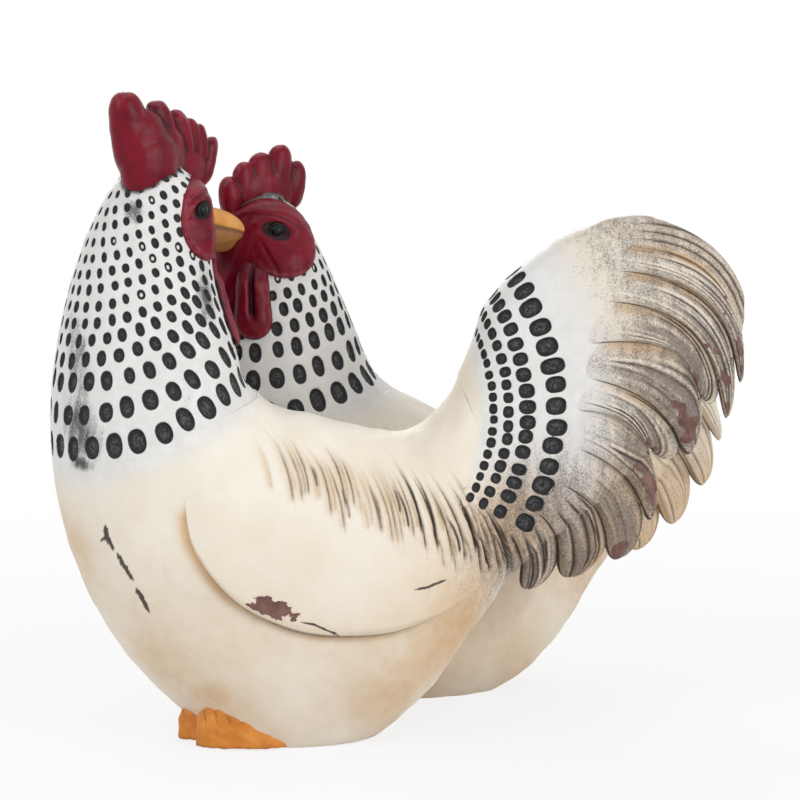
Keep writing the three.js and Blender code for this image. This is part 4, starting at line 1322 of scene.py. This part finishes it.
def carve_barbs(coat, uu, vv, strength, rng):
    """Barb lines along a plume, and the ridges beside them."""
    ridge = np.zeros(len(uu))
    for middle in np.linspace(0.14, 0.92, BARB_LINES):
        start = rng.uniform(0.0, 0.35)
        path = middle + 0.03 * rng.normal() + 0.05 * np.sin(uu * 4 + rng.uniform(0, 6))
        share = (0.2 + 0.8 * rng.random() ** 1.5) * smooth(start, start + 0.3, uu)
        coat.depth -= 0.6 * share * hump(vv - path, 0.032)
        coat.raise_to("line", (0.45 + 0.45 * strength) * share * hump(vv - path, 0.026))
        ridge = np.maximum(ridge, share * hump(vv - path - 0.06, 0.035))
    coat.depth += 0.3 * ridge
    return ridge


def shade_plume(coat, uu, vv, strength, ridge, rng):
    """A dark lower edge with tan above it, painted shade in tan where it tucks under the plume above, and
    smoke towards the tip, kept off the ridges as a painted highlight.
    """
    lower = 1 - smooth(0.02, 0.08, vv)
    coat.raise_to("line", (0.5 + 0.4 * strength) * lower * smooth(0.02, 0.25, uu))
    # Painted shade in tan where the plume tucks under the one above it
    tucked = smooth(0.5, 0.95, vv) * (1 - 0.6 * smooth(0.4, 0.9, uu))
    coat.raise_to("tan", (0.7 + 0.3 * rng.random()) * tucked * smooth(0.02, 0.2, uu))
    coat.raise_to("tan", 0.55 * (1 - smooth(0.08, 0.3, vv)) * smooth(0.03, 0.4, uu))
    coat.raise_to("tan", 0.24 * smooth(0.05, 0.4, uu))
    dusk = smooth(0.0, 0.9, uu + 0.12 * rng.normal()) * (0.3 + 0.7 * hump(vv - 0.45, 0.3))
    coat.raise_to("smoke", strength * (0.2 + 0.9 * dusk))
    # Painted highlight: less smoke on the ridges beside the barb lines
    coat.layers["smoke"] *= 1 - 0.7 * ridge


def split_plume(coat, number, uu, vv):
    """Deep lines that part a wide plume into narrow feathers."""
    for middle in COVERT_SPLITS:
        path = middle + 0.04 * np.sin(3 * uu + number)
        coat.depth -= 1.3 * smooth(0.05, 0.4, uu) * hump(vv - path, 0.055)
        coat.raise_to("line", 0.9 * smooth(0.05, 0.4, uu) * hump(vv - path, 0.035))


def chip_plume(coat, number, uu, vv):
    """Small chips in the paint towards the tip."""
    torn = 0.8 * waves(coat.points, 7, 300 + number) - 2.35
    torn = torn + 2.8 * hump(vv - 0.3, 0.25) * smooth(0.45, 0.9, uu)
    coat.raise_to("chip", np.where(uu > 0.35, torn * 2.2, OUTSIDE))


def paint_plume(fan, coat, number, u, v, rng):
    """All carving and paint of one plume."""
    bird = fan.bird
    uu, vv = np.repeat(u, len(v)), np.tile(v, len(u))
    colour_and_shade(fan, coat)
    ridge = carve_barbs(coat, uu, vv, bird["smoke"], rng)
    shade_plume(coat, uu, vv, bird["smoke"], ridge, rng)
    rooster = bird["name"] == "rooster"
    if rooster:
        worn = split_plume if number >= COVERT_FROM else chip_plume
        worn(coat, number, uu, vv)
    if number >= DOTTED_FROM or not rooster:
        collar_dots(fan, coat, np.arange(len(coat.points)))


def make_plumes(fan):
    for number in range(1, len(fan.bird["plumes"])):
        make_plume(fan, number, -1, "left")
        make_plume(fan, number, 1, "right")


# Heads

class Head:
    """The head's own frame: s forward, l to its left, z up, with the skin round a standing axis."""

    def __init__(self, fan):
        self.fan = fan
        self.x, turn = fan.bird["head"]
        self.y = -fan.bird["side"] * LEAN
        self.turn = math.radians(turn)
        angle, radius = fan.bird["crown"]
        self.crown = fan.bird["pivot"][1] + radius * math.sin(math.radians(angle))
        self.forward = np.array([math.cos(self.turn), math.sin(self.turn), 0])
        self.leftward = np.array([-math.sin(self.turn), math.cos(self.turn), 0])

    def local(self, points):
        """Points seen from the head."""
        away = points - np.array([self.x, self.y, 0])
        return away @ self.forward, away @ self.leftward, away[:, 2]

    def place(self, s, l, z):
        x = self.x + s * math.cos(self.turn) - l * math.sin(self.turn)
        y = self.y + s * math.sin(self.turn) + l * math.cos(self.turn)
        return np.stack(np.broadcast_arrays(x, y, z), -1)

    def round(self, azimuth, radius, z):
        return self.place(radius * np.cos(azimuth), radius * np.sin(azimuth), z)

    def radius(self, azimuth, z):
        """How far the skin lies from the head's axis, by halving the search."""
        azimuth, z = np.broadcast_arrays(azimuth, z)
        low = np.zeros(azimuth.shape)
        high = np.full(azimuth.shape, HEAD_REACH)
        for _ in range(26):
            middle = (low + high) / 2
            inside = self.fan.inside(self.round(azimuth, middle, z))
            low = np.where(inside, middle, low)
            high = np.where(inside, high, middle)
        return low

    def azimuth_at(self, s, z, left):
        """The azimuth at which the skin lies a given way forward."""
        azimuth = np.linspace(0.02, np.pi * 0.9, 400)
        radius = self.radius(azimuth, np.full(400, float(z)))
        reach = radius * np.cos(azimuth)
        return float(np.interp(-s, -reach, azimuth)) * (1 if left else -1)


def face_edge(bird, azimuth, s, z):
    """Distance inside the rim of the red skin: a cheek on each side, and the lores and throat in front."""
    s0, z0, hw, hh = bird["face"]
    cheek = (1 - np.sqrt(((s - s0) / hw) ** 2 + ((z - z0) / hh) ** 2)) * min(hw, hh)
    low, tall = bird["throat"]
    front = (1 - np.sqrt((azimuth / 0.95) ** 2 + ((z - low) / tall) ** 2)) * 20
    return np.maximum(cheek, front)


def face_rise(bird, azimuth, s, z):
    """How far the red skin stands off the head, with its brow, eye socket, lids and folds, and where painted
    shade darkens its hollows.
    """
    s0, z0, _, _ = bird["face"]
    es, ez = bird["eye"]
    edge = face_edge(bird, azimuth, s, z)
    rise = -3.2 + 5.0 * smooth(-0.9, 1.7, edge) - 2.4 * smooth(es + 2, es + 13, s) * smooth(0, 5, edge)
    a, b = turned(s - es, z - ez, EYE_TILT)
    almond = np.sqrt((a / 5.2) ** 2 + (b / 3.7) ** 2)
    upper = smooth(-1.0, 1.5, b)
    rise = rise - 1.9 * hump(almond, 0.85) + (0.15 + 0.6 * upper) * hump(almond - 1.2, 0.26)
    arch = b + 0.03 * a * a
    fold = hump(arch - 5.4, 0.55) * hump(a, 7)
    rise = rise + 0.9 * hump(arch - 7.2, 2.0) * hump(a, 9) - 0.45 * fold
    rise = rise + 1.9 * hump(np.hypot(s - s0 + 2, z - z0 + 7), 7.5)
    crease = hump(s - s0 - 7 - 0.3 * (z - z0), 0.9) * smooth(2, 8, ez - z) * smooth(0, 3, edge)
    lores = 0.16 * np.sin(s * 1.9 + z * 0.8) * smooth(es + 6, es + 10, s) * smooth(1, 5, edge)
    rise = rise - 0.5 * crease + lores
    socket = 1 - smooth(0.75, 1.08, almond)
    # Painted shade in the crease, the eye socket, the fold over the eye and along the rim of the red skin
    deep = np.clip(0.4 * crease + 1.1 * socket + 0.6 * fold + 0.5 * hump(edge, 0.6), 0, 1)
    return rise, deep


def proud(field, rounds):
    """How far each place of a height grid stands above its softened surroundings."""
    soft = field
    for _ in range(rounds):
        soft = np.pad(soft, 1, mode="edge")
        soft = (soft[2:, 1:-1] + soft[:-2, 1:-1] + soft[1:-1, 2:] + soft[1:-1, :-2]) / 4
    return field - soft


def fold_layers(rise, deep):
    """Painted highlight on the ridges and painted shade in the hollows, both from the relief itself."""
    lift = proud(rise, 40)
    return {"deep": np.maximum(deep, 0.8 * smooth(0.15, 0.9, -lift)).reshape(-1),
            "ridge_highlight": (0.7 * smooth(0.15, 0.8, lift)).reshape(-1)}


def make_face(head):
    """The red skin round the head, seated in the neck."""
    bird = head.fan.bird
    _, z0, _, hh = bird["face"]
    low, tall = bird["throat"]
    azimuth = np.radians(np.linspace(-150, 150, 360))[None, :]
    z = np.linspace(min(z0 - hh, low - tall) - 3, max(z0 + hh, low + tall) + 3, 150)[:, None]
    radius = head.radius(azimuth, z)
    rise, deep = face_rise(bird, azimuth, radius * np.cos(azimuth), z)
    lumps = head.round(azimuth, radius, z)
    rise = rise + 0.06 * waves(lumps, 4.5, 51) * (rise > 0)
    outer = head.round(azimuth, np.maximum(radius + rise, 0.6), z)
    inner = head.round(azimuth, np.maximum(radius - FACE_SEAT - FACE_BACK, 0.2), z)
    shell_piece(bird, "face", outer, inner, CRIMSON, fold_layers(rise, deep))


def make_wattle(head, left):
    """A hanging lobe with a groove down its middle, laid on the throat."""
    bird = head.fan.bird
    sign = 1 if left else -1
    (a_top, z_top), (a_end, z_end) = bird["wattle"]["top"], bird["wattle"]["end"]
    r_top, r_end = bird["wattle"]["radii"]
    middle = math.radians((a_top + a_end) / 2)
    spread = np.linspace(-0.62, 0.62, 110)[None, :]
    z = np.linspace(z_end - r_end - 3, z_top + 4, 140)[:, None]
    azimuth = sign * (middle + spread)
    radius = head.radius(azimuth, z)
    down = np.clip((z_top - z) / (z_top - z_end), 0, 1)
    centre = np.radians(a_top + (a_end - a_top) * down) - middle
    across = (spread - centre) * WATTLE_RADIUS
    past = np.maximum(z_end - z, 0) + np.minimum(z_top - z, 0) * -0.6
    half = r_top + (r_end - r_top) * down
    edge = half - np.hypot(across, past)
    body = round_edge(edge / half)
    groove = hump(across, 1.2) * smooth(-1, 4, z - z_end) * (1 - smooth(z_top - 9, z_top - 2, z))
    rise = -3.0 * (1 - smooth(-0.6, 0.3, edge)) + bird["wattle"]["rise"] * body * smooth(-0.2, 0.3, edge)
    rise = rise - 0.48 * bird["wattle"]["rise"] * groove
    rise = rise - (rise + 3.6) * smooth(z_top - 12, z_top + 1, z)
    # Painted shade down the groove and round the rim of the lobe
    deep = np.clip(0.95 * groove + 0.8 * hump(edge, 0.8), 0, 1)
    lumps = head.round(azimuth, radius, z)
    rise = rise + 0.07 * waves(lumps, 5, 61) * (rise > 0)
    outer = head.round(azimuth, radius + rise, z)
    inner = head.round(azimuth, radius - WATTLE_SUNK, z)
    part = "wattle_left" if left else "wattle_right"
    shell_piece(bird, part, outer, inner, CRIMSON, fold_layers(rise, deep))


def eye_seat(head, left):
    """Where the eye sits on the face, with the way along the skin and the way out."""
    bird = head.fan.bird
    es, ez = bird["eye"]
    azimuth = head.azimuth_at(es, ez, left)
    turn = azimuth + np.array([-0.04, 0.0, 0.04])
    radius = head.radius(turn, np.full(3, float(ez)))
    before, here, beside = head.round(turn, radius, ez)
    lift = float(face_rise(bird, turn[1], radius[1] * math.cos(azimuth), float(ez))[0])
    along = (beside - before) / np.linalg.norm(beside - before)
    axis = np.cross(along, [0, 0, 1])
    axis = axis if axis @ (here - head.place(0, 0, ez)) > 0 else -axis
    return here + axis * (lift + 0.3), along, axis


def make_eye(head, left):
    """A glossy bead set in a dark rim."""
    bird = head.fan.bird
    out, along, axis = eye_seat(head, left)
    profile = np.array(EYE_PROFILE) * EYE_RADIUS
    turns = all_round(EYE_SIDES)
    ring = along * np.cos(turns)[:, None] + np.array([0, 0, 0.94]) * np.sin(turns)[:, None]
    points = np.concatenate([out + ring * r + axis * h for r, h in profile])
    deep = np.repeat((profile[:, 0] > EYE_RIM * EYE_RADIUS).astype(float), EYE_SIDES)
    faces = tube_faces(len(profile), EYE_SIDES)
    name = bird["name"] + "_eye_" + ("left" if left else "right")
    piece = make_piece(name + "_bead", stand_in(bird, points), faces, BEAD, {"deep": deep})
    with edited(piece) as bm:
        bmesh.ops.remove_doubles(bm, verts=bm.verts, dist=1e-7)
    tidy_mesh(piece)
    settle(piece, name)


def blob(bm, centre, axes, half, power):
    """A rounded lump: a sphere with its own axes, half sizes and squareness."""
    made = bmesh.ops.create_uvsphere(bm, u_segments=40, v_segments=28, radius=1)["verts"]
    for vert in made:
        local = vert.co.copy()
        ring = math.hypot(local.x, local.y)
        lift = math.copysign(abs(local.z) ** power[0], local.z)
        wide = ring ** power[1]
        turn = math.atan2(local.y, local.x)
        local = np.array([wide * math.cos(turn) * half[0], wide * math.sin(turn) * half[1], lift * half[2]])
        vert.co = Vector(centre + axes[0] * local[0] + axes[1] * local[1] + axes[2] * local[2])


def fused_piece(bird, name, bm, material, rounds):
    """Fuses overlapping lumps into one skin and softens it."""
    mesh = bpy.data.meshes.new(name)
    shift = Vector((0, bird["side"] * PAIR_SPACING / 2, 0))
    for vert in bm.verts:
        vert.co = (vert.co + shift) * MM + root_shift
    bm.to_mesh(mesh)
    bm.free()
    piece = add_object(name, mesh)
    fuse = piece.modifiers.new("fuse", "REMESH")
    fuse.mode = "VOXEL"
    fuse.voxel_size = VOXEL * MM
    soft = piece.modifiers.new("soften", "SMOOTH")
    soft.iterations = rounds
    soft.factor = 0.5
    baked(piece)
    piece.data.materials.clear()
    piece.data.materials.append(material)
    for face in piece.data.polygons:
        face.use_smooth = True
    return piece


def mesh_points(piece):
    """The points in metres, their normals, and the points in millimetres in the working frame."""
    flat = np.empty(len(piece.data.vertices) * 3)
    piece.data.vertices.foreach_get("co", flat)
    normals = np.array([n.vector for n in piece.data.vertex_normals])
    points = flat.reshape(-1, 3)
    return points, normals, (points - np.array(root_shift)) / MM


def reshape(piece, points, layers):
    """Moves the points of a piece and writes its paint layers."""
    piece.data.vertices.foreach_set("co", in_box(points).reshape(-1))
    add_layers(piece.data, layers)
    piece.data.update()


def stands_out(piece, points, normals, rounds):
    """How far each point stands proud of its softened surroundings, in millimetres."""
    ends = np.empty(len(piece.data.edges) * 2, np.int32)
    piece.data.edges.foreach_get("vertices", ends)
    a, b = ends.reshape(-1, 2).T
    count = np.bincount(ends, minlength=len(points))[:, None]
    soft = points
    for _ in range(rounds):
        sums = [np.bincount(a, soft[b, k], len(points)) + np.bincount(b, soft[a, k], len(points))
                for k in range(3)]
        soft = np.stack(sums, -1) / count
    return ((points - soft) * normals).sum(1) / MM


def make_comb(head):
    """Flat-topped lobes on a smooth base that saddles the crown."""
    bird = head.fan.bird
    up = np.array([0, 0, 1.0])
    bm = bmesh.new()
    for s, l, z, half in bird["comb_base"]:
        axes = (head.forward, head.leftward, up)
        blob(bm, head.place(s, l, head.crown + z), axes, half, (0.9, 0.9))
    for s, tilt, half_s, half_l, low, high in bird["comb_lobes"]:
        axes = (head.forward, head.leftward, up + tilt * head.forward)
        tall = (high - low) / 2
        centre = head.place(s, 0, head.crown + low + tall)
        blob(bm, centre, axes, (half_s, half_l, tall), bird["comb_power"])
    piece = fused_piece(bird, bird["name"] + "_comb_casting", bm, CRIMSON, COMB_ROUNDS)
    points, normals, local = mesh_points(piece)
    lift = stands_out(piece, points, normals, 24)
    low, middle, high = np.percentile(lift, [4, 72, 98])
    # Painted shade in the hollows and a painted highlight on the ridges, by how far each point stands out
    deep = 1 - smooth(low, low * 0.25, lift)
    ridge_highlight = smooth(middle, high, lift)
    rise = 0.06 * waves(local, 5.5, 71)
    reshape(piece, points + normals * (rise * MM)[:, None], {"deep": 0.6 * deep, "ridge_highlight": ridge_highlight})
    settle(piece, bird["name"] + "_comb")


def make_beak(head):
    """A hooked beak with a parted mouth line and nostrils."""
    bird = head.fan.bird
    z0, length, drop, high, wide = bird["beak"]
    u = np.linspace(0, 1, BEAK_ROWS)
    turns = all_round(BEAK_SIDES)
    s = BEAK_FROM + (length - BEAK_FROM) * u
    keep = np.sqrt(np.clip(1 - u ** 2.6, 0, 1)) * 0.985 + 0.015
    sink = -drop * u ** 2.2
    c, n = np.cos(turns)[None, :], np.sin(turns)[None, :]
    l = wide * keep[:, None] * np.sign(c) * np.abs(c) ** 0.9
    zz = z0 + sink[:, None] + high * keep[:, None] * np.sign(n) * np.abs(n) ** 0.95
    mouth = (z0 + 4.2 - (drop + 5.4) * u ** 1.1)[:, None]
    line = hump(zz - mouth, 0.7) * (np.abs(c) > 0.15) * smooth(0.2, 0.4, u)[:, None]
    nostril = hump(np.hypot(s[:, None] - BEAK_FROM - 15, zz - z0 - 4), 1.3)
    l = l * (1 - 0.16 * line - 0.12 * nostril)
    lower = 1 - smooth(-0.6, 0.2, zz - mouth)
    # Painted shade in the mouth line and nostrils and over the lower mandible
    deep = np.clip(0.95 * line + 0.9 * nostril + 0.6 * lower, 0, 1)
    grid = head.place(np.broadcast_to(s[:, None], l.shape), l, zz)
    piece = make_piece(bird["name"] + "_beak_casting", stand_in(bird, grid.reshape(-1, 3)),
                       tube_faces(len(u), len(turns)), OCHRE, {"deep": deep.reshape(-1)})
    cut_piece(piece, [])
    settle(piece, bird["name"] + "_beak")


def make_head(fan):
    head = Head(fan)
    make_face(head)
    make_comb(head)
    make_beak(head)
    for left in (True, False):
        make_wattle(head, left)
        make_eye(head, left)


# Feet and plugs

def make_foot(bird, outer):
    """Two toes fused into one block, flat underneath and scored across."""
    bm = bmesh.new()
    axes = (np.array([1.0, 0, 0]), np.array([0, 1.0, 0]), np.array([0, 0, 1.0]))
    way = bird["side"] if outer else -bird["side"]
    for tip, y in bird["toes"]:
        half = (bird["heel"] - tip) / 2
        centre = np.array([tip + half, way * y, 0.0])
        blob(bm, centre, axes, (half, TOE_WIDTH / 2, FOOT_HEIGHT), (0.55, 0.45))
    cut_below(bm, (0, 0, SOLE), (0, 0, 1), 0.0)
    fill_holes(bm)
    name = bird["name"] + "_foot_" + ("outer" if outer else "inner")
    piece = fused_piece(bird, name + "_casting", bm, ORANGE, FOOT_ROUNDS)
    points, normals, local = mesh_points(piece)
    tip = min(t for t, _ in bird["toes"])
    along = local[:, 0] - tip
    scute = np.abs(np.sin((along + 0.25 * local[:, 2]) * math.pi / SCUTE)) ** 0.6
    front = (1 - smooth(26, 40, along)) * smooth(7, 11, local[:, 2])
    rise = (0.8 * scute - 0.8) * front + 0.14 * waves(local, 4, 81)
    # Painted shade in the grooves between the scutes and along the foot's base at the floor
    deep = np.clip(0.75 * (1 - scute) ** 1.5 * front + 0.4 * (1 - smooth(0.5, 3, local[:, 2])), 0, 1)
    moved = points + normals * (rise * MM)[:, None]
    moved[:, 2] = np.maximum(moved[:, 2], 0.0)
    reshape(piece, moved, {"deep": deep})
    settle(piece, name)


def make_plug(bird):
    """A pressed-in stopper with a rim and a pull dimple."""
    name = bird["name"] + "_plug"
    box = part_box(name)
    low, high = Vector(box[0]) / MM, Vector(box[1]) / MM
    centre = (low + high) / 2 - root_shift / MM
    radius = (high.x - low.x) / 2
    z0, z1 = low.z - root_shift.z / MM, high.z - root_shift.z / MM
    profile = [(0.01, z0 + 1.6), (3.2, z0 + 1.5), (4.6, z0 + 0.5), (5.4, z0), (radius - 2.4, z0),
               (radius - 2.0, z0 + 0.4), (radius - 1.5, z0 + 0.4), (radius - 1.1, z0), (radius - 0.4, z0),
               (radius, z0 + 0.5), (radius, z1 - 0.6), (radius - 0.6, z1), (0.01, z1)]
    turns = all_round(PLUG_SIDES)
    points = [(centre.x + r * math.cos(t), centre.y + r * math.sin(t), z) for r, z in profile for t in turns]
    piece = make_piece(name + "_rubber", np.array(points), tube_faces(len(profile), PLUG_SIDES), RUBBER)
    cut_piece(piece, [])
    settle(piece, name)


for bird in (ROOSTER, HEN):
    fan = Fan(bird)
    make_trunk(fan)
    make_wing(fan)
    make_plumes(fan)
    make_head(fan)
    make_foot(bird, True)
    make_foot(bird, False)
    make_plug(bird)
for name in ("dowel_front", "dowel_rear"):
    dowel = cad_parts[name]
    dowel.data.materials.clear()
    dowel.data.materials.append(PINE)


# Studio

def make_camera():
    data = bpy.data.cameras.new("camera")
    data.lens = LENS
    data.sensor_width = SENSOR
    data.clip_end = 20
    camera = add_object("camera", data)
    tilt = math.radians(ELEVATION)
    back = Vector((0, -math.cos(tilt), math.sin(tilt)))
    camera.location = (Vector(TARGET) + back * DISTANCE) * MM + root_shift
    camera.rotation_euler = (-back).to_track_quat("-Z", "Y").to_euler()
    bpy.context.scene.camera = camera


def make_light(name, spot, size, power):
    data = bpy.data.lights.new(name, "AREA")
    data.shape = "DISK"
    data.size = size
    data.energy = power
    lamp = add_object(name, data)
    lamp.location = spot
    aim = Vector(LAMP_AIM) - Vector(spot)
    lamp.rotation_euler = aim.to_track_quat("-Z", "Y").to_euler()


def seen_rays(tree):
    """One for rays that the camera sees straight, in a mirror or through glass."""
    path = tree.nodes.new("ShaderNodeLightPath")
    seen = path.outputs["Is Camera Ray"]
    for kind in ("Is Glossy Ray", "Is Transmission Ray"):
        either = tree.nodes.new("ShaderNodeMath")
        either.operation = "MAXIMUM"
        tree.links.new(seen, either.inputs[0])
        tree.links.new(path.outputs[kind], either.inputs[1])
        seen = either.outputs[0]
    return seen


def mix_shaders(tree, share, hidden, seen, output):
    """Gives seen rays one shader and the rest another."""
    mix = tree.nodes.new("ShaderNodeMixShader")
    tree.links.new(share, mix.inputs["Fac"])
    tree.links.new(hidden.outputs[0], mix.inputs[1])
    tree.links.new(seen.outputs[0], mix.inputs[2])
    tree.links.new(mix.outputs[0], tree.nodes[output].inputs["Surface"])


def floor_paint():
    """White that takes shadows, and glows more the farther it lies from the middle."""
    material = bpy.data.materials.new("studio_white")
    material.use_nodes = True
    tree = material.node_tree
    tree.nodes.remove(tree.nodes["Principled BSDF"])
    diffuse = tree.nodes.new("ShaderNodeBsdfDiffuse")
    diffuse.inputs["Color"].default_value = FLOOR_COLOUR
    glow = tree.nodes.new("ShaderNodeEmission")
    place = tree.nodes.new("ShaderNodeTexCoord")
    length = tree.nodes.new("ShaderNodeVectorMath")
    length.operation = "LENGTH"
    far = tree.nodes.new("ShaderNodeMapRange")
    far.interpolation_type = "SMOOTHSTEP"
    for key, number in FLOOR_GLOW:
        far.inputs[key].default_value = number
    share = tree.nodes.new("ShaderNodeMath")
    share.operation = "MULTIPLY"
    tree.links.new(place.outputs["Object"], length.inputs[0])
    tree.links.new(length.outputs["Value"], far.inputs["Value"])
    tree.links.new(seen_rays(tree), share.inputs[0])
    tree.links.new(far.outputs["Result"], share.inputs[1])
    mix_shaders(tree, share.outputs[0], diffuse, glow, "Material Output")
    return material


def make_floor():
    half = FLOOR_HALF
    corners = [(-half, -half, 0), (half, -half, 0), (half, half, 0), (-half, half, 0)]
    mesh = bpy.data.meshes.new("studio_floor")
    mesh.from_pydata(corners, [], [(0, 1, 2, 3)])
    mesh.materials.append(floor_paint())
    floor = add_object("studio_floor", mesh)
    floor.location = (0, 0, -FLOOR_DROP)


def make_world():
    """Soft light all round, and plain white behind the part."""
    world = bpy.data.worlds.new("studio")
    world.use_nodes = True
    bpy.context.scene.world = world
    tree = world.node_tree
    soft = tree.nodes["Background"]
    soft.inputs["Color"].default_value = SKY_COLOUR
    soft.inputs["Strength"].default_value = SKY_STRENGTH
    white = tree.nodes.new("ShaderNodeBackground")
    white.inputs["Color"].default_value = (1, 1, 1, 1)
    white.inputs["Strength"].default_value = 1.0
    mix_shaders(tree, seen_rays(tree), soft, white, "World Output")


make_camera()
for lamp in LAMPS:
    make_light(*lamp)
make_floor()
make_world()
bpy.context.scene.view_settings.view_transform = "Standard"
